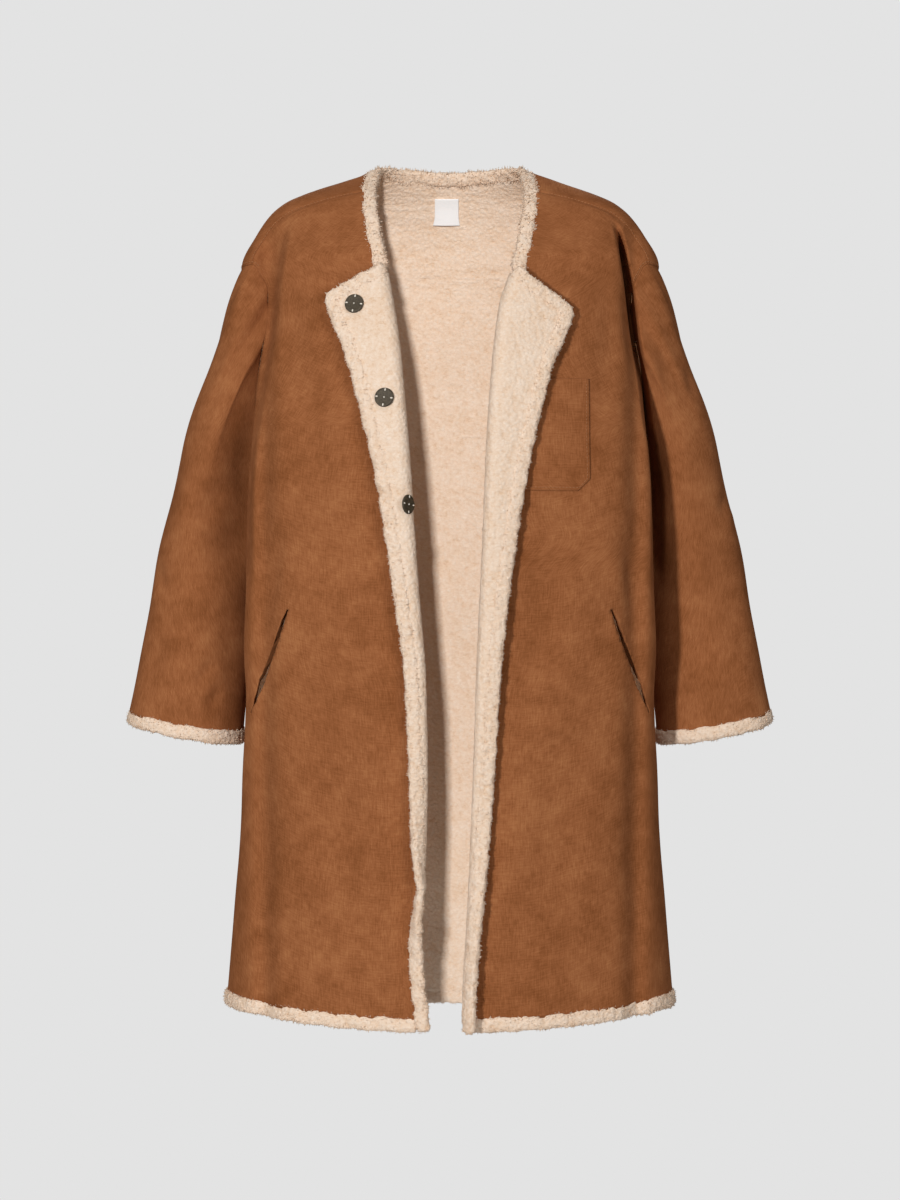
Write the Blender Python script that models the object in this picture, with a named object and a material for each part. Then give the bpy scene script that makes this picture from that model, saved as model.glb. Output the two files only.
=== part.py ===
"""Open knee-length coat in bonded suede and sherpa, worn form with no wearer.

Metres, +Z up. The coat faces -Y, the wearer's left is at +X and the origin lies
between the shoulders, level with the top of the shoulder seams, where the
wearer carries the weight. Every piece is worked out from one body surface: a
stack of rounded sections, one for each height. An angle of 0 is the front
centre of a section, 90 degrees its side and 180 degrees the back centre.
"""
from collections import namedtuple

import bpy
import numpy as np

CLOTH = 0.006            # suede and clipped pile together
SEAM = 0.0003            # clear space between two sewn pieces
TRIM_WIDTH = 0.016       # pile edging, across
TRIM_THICK = 0.010
ROLL_RADIUS = 0.0085     # middle of the cloth where the upper lapel turns over
LAPEL_EDGE_CLEAR = 0.0070  # lapel edge to the front it lies over

HEM_HEIGHT = -0.972      # cut edge of the suede, front and back centre
HEM_SIDE_RISE = 0.017
HEM_RISE_FROM = -0.55
COLLAR_POINT = -0.0235   # where the shoulder seams meet the neck edging
ARMHOLE_TOP = -0.108
ARMHOLE_BOTTOM = -0.300
NOTCH_ROW = 2             # rows from the armhole's top down to the collar notch

SLEEVE_GORE = 20         # points round a sleeve, and twice the rows of an armhole
FRONT_COLUMNS = 13
LAPEL_COLUMNS = 8
BACK_COLUMNS = 22
SKIRT_ROWS = 15
SLEEVE_ROWS = 12

# The wearer's body is not in the coat: these sections are the cloth's own.
Section = namedtuple(
    "Section", "height half_front half_back side_y front_depth back_depth back_power"
)
SECTIONS = (
    Section(0.0060, 0.0930, 0.0930, 0.004, 0.012, 0.053, 2.0),
    Section(-0.0005, 0.1040, 0.1040, 0.004, 0.018, 0.057, 2.0),
    Section(-0.0058, 0.1205, 0.1205, 0.003, 0.023, 0.061, 2.0),
    Section(-0.0152, 0.1498, 0.1498, 0.002, 0.034, 0.069, 2.0),
    Section(-0.0246, 0.1735, 0.1735, 0.001, 0.044, 0.076, 2.0),
    Section(-0.0339, 0.1930, 0.1930, 0.000, 0.052, 0.082, 2.0),
    Section(-0.0480, 0.2105, 0.2105, -0.001, 0.062, 0.090, 2.1),
    Section(-0.0714, 0.2265, 0.2265, -0.003, 0.074, 0.100, 2.1),
    Section(-0.1080, 0.2430, 0.2430, -0.008, 0.086, 0.113, 2.2),
    Section(-0.1300, 0.2320, 0.2510, -0.018, 0.086, 0.128, 2.3),
    Section(-0.1600, 0.2160, 0.2480, -0.032, 0.080, 0.147, 2.3),
    Section(-0.2000, 0.2120, 0.2390, -0.044, 0.077, 0.164, 2.3),
    Section(-0.2500, 0.2200, 0.2310, -0.054, 0.077, 0.178, 2.2),
    Section(-0.3000, 0.2285, 0.2285, -0.060, 0.078, 0.186, 2.0),
    Section(-0.3800, 0.2345, 0.2345, -0.062, 0.078, 0.189, 2.0),
    Section(-0.5000, 0.2355, 0.2355, -0.058, 0.081, 0.186, 2.0),
    Section(-0.6500, 0.2380, 0.2380, -0.044, 0.092, 0.172, 2.0),
    Section(-0.8000, 0.2450, 0.2450, -0.020, 0.112, 0.150, 2.0),
    Section(-0.9000, 0.2540, 0.2540, -0.006, 0.124, 0.138, 2.0),
    Section(-1.0000, 0.2640, 0.2640, 0.000, 0.130, 0.132, 2.0),
)

# Shoulder seam and side seam, as an angle on the section at each height.
Seam = namedtuple("Seam", "height angle")
SHOULDER_SEAM = (
    Seam(-0.0235, 36.0),
    Seam(-0.0290, 43.5),
    Seam(-0.0390, 54.0),
    Seam(-0.0490, 63.0),
    Seam(-0.0700, 69.0),
    Seam(-0.1080, 71.0),
)
SIDE_SEAM = (Seam(-0.3000, 117.0), Seam(-0.5000, 115.0), Seam(-0.7500, 105.0), Seam(-1.0000, 96.0))

# Armhole: the turn goes 0 at its top to 180 at the underarm.
Armhole = namedtuple("Armhole", "turn front_angle back_angle")
ARMHOLE = (
    Armhole(0, 71, 71),
    Armhole(20, 67, 92),
    Armhole(40, 67, 110),
    Armhole(65, 80, 124),
    Armhole(90, 91, 131),
    Armhole(120, 99, 134),
    Armhole(150, 107, 129),
    Armhole(180, 117, 117),
)

# Neck edge of the cloth, measured out from the centre.
NeckEdge = namedtuple("NeckEdge", "height out")
NECK_EDGE = (
    NeckEdge(0.0040, 0.0955),
    NeckEdge(-0.0030, 0.0975),
    NeckEdge(-0.0120, 0.0990),
    NeckEdge(-0.0340, 0.0995),
    NeckEdge(-0.0650, 0.0945),
    NeckEdge(-0.0900, 0.0905),
    NeckEdge(-0.1263, 0.0810),
)

# Roll line of a front: how far out its fold lies, how far the cloth goes on past
# the start of the fold, the edging included, how fully it turns over, how much
# lower its edge ends than its fold, and the radius of the cloth's middle there.
Lapel = namedtuple("Lapel", "height roll_out reach turn drop radius")
LAPEL_RIGHT = (
    Lapel(-0.126, 0.0690, 0.088, 1.00, 0.034, 0.0085),
    Lapel(-0.158, 0.0633, 0.090, 1.00, 0.026, 0.0085),
    Lapel(-0.203, 0.0565, 0.080, 1.00, 0.018, 0.0085),
    Lapel(-0.271, 0.0500, 0.068, 1.00, 0.013, 0.0085),
    Lapel(-0.339, 0.0445, 0.058, 1.00, 0.009, 0.0085),
    Lapel(-0.418, 0.0395, 0.050, 1.00, 0.005, 0.0083),
    Lapel(-0.497, 0.0340, 0.043, 1.00, 0.003, 0.0076),
    Lapel(-0.587, 0.0270, 0.036, 1.00, 0.000, 0.0060),
    Lapel(-0.700, 0.0250, 0.032, 0.96, 0.000, 0.0052),
    Lapel(-0.770, 0.0265, 0.031, 0.84, 0.000, 0.0052),
    Lapel(-0.850, 0.0305, 0.030, 0.46, 0.000, 0.0055),
    Lapel(-0.900, 0.0285, 0.030, 0.24, 0.000, 0.0065),
    Lapel(-1.000, 0.0175, 0.030, 0.14, 0.000, 0.0085),
)
LAPEL_LEFT = (
    Lapel(-0.126, 0.0670, 0.088, 1.00, 0.049, 0.0085),
    Lapel(-0.158, 0.0560, 0.092, 1.00, 0.038, 0.0085),
    Lapel(-0.203, 0.0495, 0.085, 1.00, 0.027, 0.0085),
    Lapel(-0.271, 0.0435, 0.074, 1.00, 0.018, 0.0085),
    Lapel(-0.339, 0.0395, 0.065, 1.00, 0.012, 0.0085),
    Lapel(-0.418, 0.0365, 0.056, 1.00, 0.007, 0.0085),
    Lapel(-0.497, 0.0330, 0.049, 1.00, 0.003, 0.0085),
    Lapel(-0.587, 0.0290, 0.043, 1.00, 0.000, 0.0078),
    Lapel(-0.700, 0.0255, 0.037, 1.00, 0.000, 0.0064),
    Lapel(-0.800, 0.0215, 0.032, 0.96, 0.000, 0.0054),
    Lapel(-0.860, 0.0185, 0.031, 0.88, 0.000, 0.0053),
    Lapel(-0.930, 0.0145, 0.031, 0.82, 0.000, 0.0053),
    Lapel(-1.000, 0.0125, 0.031, 0.80, 0.000, 0.0053),
)

# Sleeve: outer line and inner line in the front view, then its depth, and how
# far its back lies in towards the body for each step backward.
Sleeve = namedtuple("Sleeve", "along outer_x outer_z inner_x inner_z middle_y half_depth lean")
SLEEVE = (
    Sleeve(0.00, 0.2420, -0.108, 0.2020, -0.300, 0.026, 0.062, 0.20),
    Sleeve(0.12, 0.2670, -0.160, 0.2060, -0.338, 0.034, 0.069, 0.26),
    Sleeve(0.26, 0.2920, -0.235, 0.2130, -0.385, 0.042, 0.071, 0.28),
    Sleeve(0.42, 0.3170, -0.317, 0.2210, -0.440, 0.047, 0.067, 0.26),
    Sleeve(0.58, 0.3390, -0.403, 0.2290, -0.497, 0.048, 0.061, 0.22),
    Sleeve(0.74, 0.3560, -0.490, 0.2360, -0.552, 0.045, 0.055, 0.16),
    Sleeve(0.88, 0.3690, -0.565, 0.2430, -0.606, 0.040, 0.051, 0.08),
    Sleeve(1.00, 0.3780, -0.628, 0.2475, -0.652, 0.036, 0.048, 0.00),
)
CUFF_FRONT_DROP = 0.006

# Fold that runs down from the shoulder point and parts front from sleeve.
ARM_FOLD_OUT = 0.212
ARM_FOLD_DEPTH = 0.010
ARM_FOLD_HALF_WIDTH = 0.012
ARM_FOLD_FROM = -0.045
ARM_FOLD_FULL = -0.100

# Chest pocket on the wearer's left front, and the slanted side pockets.
PATCH_THICK = 0.0020
PATCH_LIFT = 0.0003
POCKET_OUT = (0.064, 0.1585)
POCKET_HEIGHTS = (-0.246, -0.374)
POCKET_CHAMFER = 0.014
SLIT_TOP = (0.1835, -0.508)
SLIT_BOTTOM = (0.2290, -0.628)
SLIT_WIDTH = 0.0045
BAG_REACH_IN = 0.105
BAG_DEEP = 0.075
BAG_PAST_MOUTH = 0.008
BAG_THICK = 0.003
BAG_LIFT = 0.0009
BAG_FOLD_LIFT = 0.0046     # more where the fold beside the arm runs over the bag

SNAP_RADIUS = 0.011
SNAP_THICK = 0.0025
SNAP_FROM_EDGE = 0.033
SNAP_HEIGHTS = (-0.150, -0.262, -0.383)
MATE_RADIUS = 0.0065
MATE_THICK = 0.002
MATE_FROM_EDGE = 0.0245
LABEL_SIZE = (0.029, 0.031)
LABEL_CENTRE = (-0.004, -0.030)
LABEL_THICK = 0.001

SUEDE = ((0.29, 0.105, 0.037), 0.95, 0.0)
SHERPA = ((0.83, 0.62, 0.43), 1.0, 0.0)
BRONZE = ((0.085, 0.07, 0.045), 0.45, 0.8)
WHITE_TAPE = ((0.93, 0.9, 0.86), 0.8, 0.0)


def ease(low, high, value):
    """Smooth step from 0 at low to 1 at high."""
    share = np.clip((np.asarray(value, float) - low) / (high - low), 0.0, 1.0)
    return share * share * (3.0 - 2.0 * share)


def read(table, key, column, at):
    """Smooth curve through one column of a table, read at the key's values.

    Each interval is a cubic whose end slopes are the harmonic mean of the
    slopes on both sides, so the curve never overshoots the table.
    """
    x = np.array([getattr(row, key) for row in table], float)
    y = np.array([getattr(row, column) for row in table], float)
    if x[0] > x[-1]:
        x, y = x[::-1], y[::-1]
    step = np.diff(x)
    slope = np.diff(y) / step
    ends = np.zeros_like(y)
    same = slope[:-1] * slope[1:] > 0
    ends[1:-1][same] = 2.0 / (1.0 / slope[:-1][same] + 1.0 / slope[1:][same])
    ends[0], ends[-1] = slope[0], slope[-1]
    at = np.clip(np.asarray(at, float), x[0], x[-1])
    k = np.clip(np.searchsorted(x, at) - 1, 0, len(step) - 1)
    t = (at - x[k]) / step[k]
    a = (1 + 2 * t) * (1 - t) ** 2
    b = t * (1 - t) ** 2
    c = t * t * (3 - 2 * t)
    d = t * t * (t - 1)
    return a * y[k] + b * step[k] * ends[k] + c * y[k + 1] + d * step[k] * ends[k + 1]


def unit(vectors):
    """Vectors brought to length 1."""
    return vectors / np.maximum(np.linalg.norm(vectors, axis=-1, keepdims=True), 1e-9)


def half_width(angle, height):
    """Half width of the section: the front's and the back's, joined softly at the side."""
    share = ease(np.radians(82), np.radians(112), angle)
    front = read(SECTIONS, "height", "half_front", height)
    back = read(SECTIONS, "height", "half_back", height)
    return front + (back - front) * share


def body(angle, height):
    """Outer face of the body: an ellipse arc in front, another behind, per height."""
    angle, height = np.broadcast_arrays(np.asarray(angle, float), np.asarray(height, float))
    turn = np.clip(np.where(angle > np.pi, 2 * np.pi - angle, angle), 0, np.pi)
    hand = np.where(angle > np.pi, -1.0, 1.0)
    cos, sin = np.cos(turn), np.sin(turn)
    wide = half_width(turn, height)
    power = np.where(cos > 0, 2.0, read(SECTIONS, "height", "back_power", height))
    depth = np.where(
        cos > 0,
        read(SECTIONS, "height", "front_depth", height),
        read(SECTIONS, "height", "back_depth", height),
    )
    x = wide * sin ** (2 / power)
    y = read(SECTIONS, "height", "side_y", height) - depth * np.sign(cos) * np.abs(cos) ** (2 / power)
    fold = np.exp(-((x - ARM_FOLD_OUT) / ARM_FOLD_HALF_WIDTH) ** 2)
    fold = fold * ease(ARM_FOLD_FROM, ARM_FOLD_FULL, height) * (cos > 0) * ease(0.02, 0.25, cos)
    y = y + ARM_FOLD_DEPTH * fold
    rise = HEM_SIDE_RISE * sin ** 2 * ease(HEM_RISE_FROM, HEM_HEIGHT, height)
    return np.stack([hand * x, y, height + rise], axis=-1)


def body_normal(angle, height):
    """Outward unit normal of the body surface, from its own small differences."""
    small_turn, small_drop = 0.004, 0.0015
    round_it = body(angle + small_turn, height) - body(angle - small_turn, height)
    down_it = body(angle, height - small_drop) - body(angle, height + small_drop)
    return unit(np.cross(down_it, round_it))


def angle_at(out, height):
    """Angle in front at which the section lies a distance out from the centre."""
    wide = read(SECTIONS, "height", "half_front", height)
    return np.arcsin(np.clip(out / wide, 0.0, 0.999))


def body_rows():
    """Heights of the rows that fronts and back share, top to hem."""
    shares = np.concatenate([[0.0, 0.02], np.linspace(0.11, 1.0, 9)]) ** 1.25
    yoke = COLLAR_POINT + (ARMHOLE_TOP - COLLAR_POINT) * shares
    turns = np.linspace(0, np.pi, SLEEVE_GORE // 2 + 1)[1:]
    middle = (ARMHOLE_TOP + ARMHOLE_BOTTOM) / 2
    arm = middle + (ARMHOLE_TOP - middle) * np.cos(turns)
    skirt = np.linspace(ARMHOLE_BOTTOM, HEM_HEIGHT, SKIRT_ROWS + 1)[1:]
    return yoke, arm, skirt


def seam_angles(heights, face):
    """Outer end of a panel's row: shoulder seam, then armhole, then side seam."""
    middle = (ARMHOLE_TOP + ARMHOLE_BOTTOM) / 2
    turn = np.degrees(np.arccos(np.clip((heights - middle) / (ARMHOLE_TOP - middle), -1, 1)))
    shoulder = read(SHOULDER_SEAM, "height", "angle", heights)
    arm = read(ARMHOLE, "turn", face + "_angle", turn)
    side = read(SIDE_SEAM, "height", "angle", heights)
    angle = np.where(heights >= ARMHOLE_TOP, shoulder, np.where(heights > ARMHOLE_BOTTOM, arm, side))
    return np.radians(angle)


def grid_faces(rows, columns, closed=False):
    """Four-cornered faces of a grid of points, row by row."""
    index = np.arange(rows * columns).reshape(rows, columns)
    if closed:
        index = np.concatenate([index, index[:, :1]], axis=1)
    return np.stack([index[:-1, :-1], index[1:, :-1], index[1:, 1:], index[:-1, 1:]], axis=-1)


def thick_sheet(middle, normal, thickness, keep=None, closed=False, order=None):
    """Wall on both sides of a grid of middle points, closed all round its rim.

    The outer layer is the middle moved half the thickness along the normal,
    the inner layer the same the other way, and each free edge gets a rim. Its
    diagonals run from the outer point that comes first in the order to the inner
    one that comes next, so the rims of two pieces with the same edge points and
    the same order are parallel. Without an order the points' own numbers hold.
    """
    rows, columns = middle.shape[:2]
    quads = grid_faces(rows, columns, closed)
    quads = quads[keep] if keep is not None else quads.reshape(-1, 4)
    half = thickness / 2
    outer = (middle + normal * half).reshape(-1, 3)
    inner = (middle - normal * half).reshape(-1, 3)
    first = quads[len(quads) // 2]
    facing = np.cross(outer[first[2]] - outer[first[0]], outer[first[3]] - outer[first[1]])
    if np.dot(facing, normal.reshape(-1, 3)[first[0]]) < 0:
        quads = quads[:, ::-1]
    count = rows * columns
    starts = quads.reshape(-1)
    ends = np.roll(quads, -1, axis=1).reshape(-1)
    one_way = starts * count + ends
    free = ~np.isin(one_way, ends * count + starts)
    a, b = starts[free], ends[free]
    rank = np.arange(count) if order is None else order.reshape(-1)
    lower = rank[a] < rank[b]
    one = np.where(lower[:, None], np.stack([b, a, b + count], 1), np.stack([b, a, a + count], 1))
    two = np.where(
        lower[:, None],
        np.stack([a, a + count, b + count], 1),
        np.stack([b, a + count, b + count], 1),
    )
    points = np.concatenate([outer, inner])
    used = np.unique(quads)
    used = np.concatenate([used, used + count])
    renumber = np.zeros(len(points), int)
    renumber[used] = np.arange(len(used))
    faces = [quads, quads[:, ::-1] + count, one, two]
    return points[used], [face for group in faces for face in renumber[group].tolist()]


def swept(path, out, normal, section, closed=False):
    """Solid of one section carried along a path, with flat ends unless it closes.

    The face next to the cloth, between the section's last and first points, has
    the same diagonals as the rim of the cloth that it lies against.
    """
    ring, count = len(section), len(path)
    points = path[:, None] + out[:, None] * section[None, :, :1] + normal[:, None] * section[None, :, 1:]
    faces = []
    for i in range(count if closed else count - 1):
        j = (i + 1) % count
        for k in range(ring - 1):
            faces.append([i * ring + k, j * ring + k, j * ring + k + 1, i * ring + k + 1])
        inner_i, outer_i = i * ring, i * ring + ring - 1
        inner_j, outer_j = j * ring, j * ring + ring - 1
        if i < j:
            faces += [[outer_i, outer_j, inner_j], [outer_i, inner_j, inner_i]]
        else:
            faces += [[outer_i, outer_j, inner_i], [outer_j, inner_j, inner_i]]
    if not closed:
        last = (count - 1) * ring
        faces.append(list(range(ring)))
        faces.append([last + k for k in range(ring - 1, -1, -1)])
    return points.reshape(-1, 3), faces


def material(name, finish):
    """Principled material from a colour, a roughness and a metallic value."""
    made = bpy.data.materials.new(name)
    made.use_nodes = True
    shader = made.node_tree.nodes["Principled BSDF"]
    colour, roughness, metallic = finish
    shader.inputs["Base Color"].default_value = (*colour, 1.0)
    shader.inputs["Roughness"].default_value = roughness
    shader.inputs["Metallic"].default_value = metallic
    return made


def add_object(name, points, faces, finish):
    """Named object from points and faces, with its faces turned outward."""
    mesh = bpy.data.meshes.new(name)
    mesh.from_pydata([tuple(p) for p in points.tolist()], [], [list(map(int, f)) for f in faces])
    mesh.validate()
    if signed_volume(mesh) < 0:
        mesh.flip_normals()
    mesh.materials.append(material(name + "_finish", finish))
    mesh.shade_smooth()
    mesh.set_sharp_from_angle(angle=np.radians(50))
    made = bpy.data.objects.new(name, mesh)
    bpy.context.scene.collection.objects.link(made)
    return made


def signed_volume(mesh):
    """Volume within a closed mesh, negative where its faces point inward."""
    mesh.calc_loop_triangles()
    corners = np.empty(len(mesh.loop_triangles) * 3, dtype=np.int32)
    mesh.loop_triangles.foreach_get("vertices", corners)
    points = np.empty(len(mesh.vertices) * 3)
    mesh.vertices.foreach_get("co", points)
    p = points.reshape(-1, 3)[corners.reshape(-1, 3)]
    return np.sum(np.cross(p[:, 0], p[:, 1]) * p[:, 2]) / 6.0


def fold_path(lapel, heights, shares):
    """Middle line of the cloth past the start of the fold, at each height.

    The heading starts along the front, towards the centre, turns evenly round
    the roll radius until it has gone half a turn, and leans on by the angle
    that brings the edge down to its clearance. Its turn is scaled by how fully
    that height is turned over. The line is the sum of its small steps.

    Returns how far it has gone towards the centre and how far it stands off.
    """
    steps = 160
    reach = read(lapel, "height", "reach", heights) - TRIM_WIDTH
    turn = read(lapel, "height", "turn", heights)
    radius = read(lapel, "height", "radius", heights)
    arc = np.pi * radius
    flat = np.maximum(reach - arc, 0.001)
    fall = 2 * radius - CLOTH - LAPEL_EDGE_CLEAR
    lean = np.arcsin(np.clip(fall / (flat + TRIM_WIDTH), 0.0, 0.20))
    along = (np.arange(steps) + 0.5) / steps * reach[:, None]
    heading = np.clip(along / radius[:, None], 0, np.pi)
    heading = heading + lean[:, None] * ease(0.0, 0.012, along - arc[:, None])
    heading = heading * turn[:, None]
    small = reach[:, None] / steps
    towards = np.concatenate([np.zeros((len(reach), 1)), np.cumsum(np.cos(heading) * small, 1)], 1)
    off = np.concatenate([np.zeros((len(reach), 1)), np.cumsum(np.sin(heading) * small, 1)], 1)
    ends = heading[:, -1]
    at = np.asarray(shares) * steps
    low = np.clip(at.astype(int), 0, steps - 1)
    part = at - low
    pick = lambda line: line[:, low] * (1 - part) + line[:, low + 1] * part
    widest = np.maximum(towards.max(axis=1), towards[:, -1] + TRIM_WIDTH * np.cos(ends))
    return pick(towards), pick(off), widest


def fold_start(lapel, heights):
    """How far out from the centre the fold starts, so that it ends at the roll line."""
    widest = fold_path(lapel, heights, [0.0])[2]
    turned = read(lapel, "height", "turn", heights)
    return read(lapel, "height", "roll_out", heights) + widest + CLOTH / 2 * ease(0.2, 0.8, turned)


def lapel_grid(lapel, heights, shares):
    """Middle points of the cloth past the fold's start, for a front at +X.

    Each point stands off the front's own surface, below its row by as much of
    the row's drop as it is past the middle of the fold.
    """
    shares = np.asarray(shares, float)
    towards, off, _ = fold_path(lapel, heights, shares)
    reach = read(lapel, "height", "reach", heights)[:, None]
    drop = read(lapel, "height", "drop", heights)[:, None]
    turned = 0.4 * np.pi * ROLL_RADIUS
    level = heights[:, None] - drop * np.clip((shares * reach - turned) / (reach - turned), 0, 1)
    out = np.maximum(fold_start(lapel, heights)[:, None] - towards, 0.002)
    angle = angle_at(out, level)
    return body(angle, level) + body_normal(angle, level) * (off - CLOTH / 2)[..., None]


def grid_normal(points):
    """Unit normals of a grid of points, from the differences along both ways."""
    down = np.gradient(points, axis=0)
    across = np.gradient(points, axis=1)
    return unit(np.cross(down, across))


def front_grid(lapel):
    """Middle points, normals and kept faces of a front at +X.

    Columns run from the shoulder seam, armhole and side seam towards the
    centre and on round the lapel. Above the collar notch they end at the neck.
    """
    yoke, arm, skirt = body_rows()
    heights = np.concatenate([yoke[1:], arm, skirt])
    notch = len(yoke) - 2 + NOTCH_ROW
    outer = seam_angles(heights, "front")
    neck = read(NECK_EDGE, "height", "out", heights)
    out = np.where(np.arange(len(heights)) < notch, neck, fold_start(lapel, heights))
    inner = angle_at(out, heights)
    share = np.linspace(0, 1, FRONT_COLUMNS + 1)
    clear = SEAM / 2 / half_width(outer, heights)
    angle = (outer - clear)[:, None] * (1 - share) + inner[:, None] * share
    level = heights[:, None] + 0 * angle
    normals = body_normal(angle, level)
    flat = body(angle, level) - normals * CLOTH / 2
    shares = np.linspace(0, 1, LAPEL_COLUMNS + 1)[1:]
    points = np.concatenate([flat, lapel_grid(lapel, heights, shares)], axis=1)
    facing = -grid_normal(points[notch:])
    normals = np.concatenate([normals, 0 * points[:, FRONT_COLUMNS + 1:]], axis=1)
    normals[notch:, FRONT_COLUMNS:] = facing[:, FRONT_COLUMNS:]
    keep = np.ones((len(heights) - 1, points.shape[1] - 1), bool)
    keep[:notch, FRONT_COLUMNS:] = False
    return points, normals, keep, notch


def mirrored(points, hand):
    """Points moved to the other side of the coat where the hand is -1."""
    return points * np.array([hand, 1.0, 1.0])


def add_front(name, lapel, hand):
    """One front, from shoulder seam and side seam to the turned lapel."""
    middle, normal, keep, _ = front_grid(lapel)
    middle, normal = mirrored(middle, hand), mirrored(normal, hand)
    points, faces = thick_sheet(middle, normal, CLOTH, keep)
    return add_object(name, points, faces, SUEDE)


def back_grid():
    """Middle points and normals of the back, one row of the neck edge at a time."""
    yoke, arm, skirt = body_rows()
    neck = np.array([row.height for row in NECK_EDGE if row.height > COLLAR_POINT])
    heights = np.concatenate([neck, yoke, arm, skirt])
    outer = seam_angles(heights, "back")
    over = angle_at(read(NECK_EDGE, "height", "out", heights), heights)
    outer = np.where(heights > COLLAR_POINT, over, outer + SEAM / 2 / half_width(outer, heights))
    share = np.linspace(0, 1, BACK_COLUMNS + 1)
    angle = outer[:, None] * (1 - share) + (2 * np.pi - outer)[:, None] * share
    level = heights[:, None] + 0 * angle
    normal = body_normal(angle, level)
    return body(angle, level) - normal * CLOTH / 2, normal, len(neck)


def add_back():
    """The back in one piece: it comes over the shoulders to the forward seams."""
    middle, normal, _ = back_grid()
    points, faces = thick_sheet(middle, normal, CLOTH)
    return add_object("back", points, faces, SUEDE)


def armhole_curve():
    """Closed line of the armhole on the body at +X: top, front, underarm, back."""
    half = SLEEVE_GORE // 2
    turns = np.linspace(0, 180, half + 1)
    middle = (ARMHOLE_TOP + ARMHOLE_BOTTOM) / 2
    heights = middle + (ARMHOLE_TOP - middle) * np.cos(np.radians(turns))
    front = np.radians(read(ARMHOLE, "turn", "front_angle", turns))
    back = np.radians(read(ARMHOLE, "turn", "back_angle", turns))
    angle = np.concatenate([front, back[-2:0:-1]])
    level = np.concatenate([heights, heights[-2:0:-1]])
    return body(angle, level), body_normal(angle, level)


def sleeve_ring(along):
    """Rounded ring of the sleeve at a share of its length, one point per gore."""
    along = np.asarray(along, float)[:, None]
    turn = np.linspace(0, 2 * np.pi, SLEEVE_GORE, endpoint=False)[None, :]
    get = lambda column: read(SLEEVE, "along", column, along)
    share = (1 + np.cos(turn)) / 2
    x = get("inner_x") + (get("outer_x") - get("inner_x")) * share
    z = get("inner_z") + (get("outer_z") - get("inner_z")) * share
    forward = get("half_depth") * np.sin(turn)
    x = x + get("lean") * forward
    z = z - CUFF_FRONT_DROP * np.sin(turn) * ease(0.6, 1.0, along)
    return np.stack([x, get("middle_y") - forward, z], axis=-1)


def sleeve_grid():
    """Outer points and normals of the sleeve at +X, from armhole to cuff."""
    along = np.linspace(0, 1, SLEEVE_ROWS + 1)
    rings = sleeve_ring(along)
    seat, seat_normal = armhole_curve()
    fade = (1 - ease(0.0, 0.42, along))[:, None, None]
    points = rings + (seat - rings[0]) * fade
    down = np.gradient(points, axis=0)
    across = (np.roll(points, -1, axis=1) - np.roll(points, 1, axis=1)) / 2
    normal = unit(np.cross(across, down))
    middle = points.mean(axis=1, keepdims=True)
    facing = np.sign(np.sum(normal * (points - middle)))
    normal = normal * facing
    agree = ease(0.2, 0.8, np.sum(normal[0] * seat_normal, axis=-1))[:, None]
    normal[0] = unit(normal[0] * (1 - agree) + seat_normal * agree)
    lead = unit(down[0])
    points[0] += lead * SEAM * 2
    return points, normal


def add_sleeve(name, hand):
    """One sleeve, an open tube that starts a seam's width from the armhole.

    Its first ring is ordered from the top down on both sides, as the rows of the
    front and back are.
    """
    points, normal = sleeve_grid()
    middle = mirrored(points - normal * CLOTH / 2, hand)
    normal = mirrored(normal, hand)
    order = np.arange(points.shape[0] * SLEEVE_GORE).reshape(-1, SLEEVE_GORE)
    order[0] = np.minimum(order[0], SLEEVE_GORE - order[0])
    points, faces = thick_sheet(middle, normal, CLOTH, closed=True, order=order)
    return add_object(name, points, faces, SUEDE)


def edging_section():
    """Rounded section of the pile edging, from the cloth's edge outward.

    Its inner face is as high as the cloth is thick.
    """
    half = TRIM_THICK / 2
    inner = 1.5 * SEAM
    return np.array([
        (inner, -CLOTH / 2),
        (TRIM_WIDTH * 0.35, -half),
        (TRIM_WIDTH * 0.85, -half * 0.75),
        (TRIM_WIDTH, 0.0),
        (TRIM_WIDTH * 0.85, half * 0.75),
        (TRIM_WIDTH * 0.35, half),
        (inner, CLOTH / 2),
    ])


def outward(path, normal):
    """Step that lies in the cloth and points off its edge, longer round a corner."""
    legs = unit(np.diff(path, axis=0))
    before = np.concatenate([legs[:1], legs])
    after = np.concatenate([legs, legs[-1:]])
    first = unit(np.cross(before, normal))
    second = unit(np.cross(after, normal))
    both = unit(first + second)
    return both / np.maximum(np.sum(both * first, axis=-1, keepdims=True), 0.75)


def add_edging(name, path, out, normal, closed=False):
    """One length of pile edging along a cloth edge."""
    points, faces = swept(path, out, normal, edging_section(), closed)
    return add_object(name, points, faces, SHERPA)


def add_neck_edging():
    """Edging of the neck, from one collar notch round the back to the other.

    Its path is the edge of the cloth itself: up a front, round the back's first
    rows and down the other front.
    """
    front, front_normal, _, notch = front_grid(LAPEL_LEFT)
    back, back_normal, rows = back_grid()
    edge = front[notch - 1::-1, FRONT_COLUMNS]
    edge_normal = front_normal[notch - 1::-1, FRONT_COLUMNS]
    side, side_normal = back[rows:0:-1, 0], back_normal[rows:0:-1, 0]
    half = np.concatenate([edge, side])
    half_normal = np.concatenate([edge_normal, side_normal])
    path = np.concatenate([half, back[0], mirrored(half[::-1], -1)])
    normal = np.concatenate([half_normal, back_normal[0], mirrored(half_normal[::-1], -1)])
    stop = front[notch, FRONT_COLUMNS, 2] + TRIM_WIDTH + 2 * SEAM
    share = (stop - path[1, 2]) / (path[0, 2] - path[1, 2])
    for end, following in ((0, 1), (-1, -2)):
        path[end] = path[following] + (path[end] - path[following]) * share
        normal[end] = unit(normal[following] + (normal[end] - normal[following]) * share)
    out = outward(path, normal)
    if out[0][0] > 0:
        out = -out
    return add_edging("trim_neck", path, out, normal)


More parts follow.
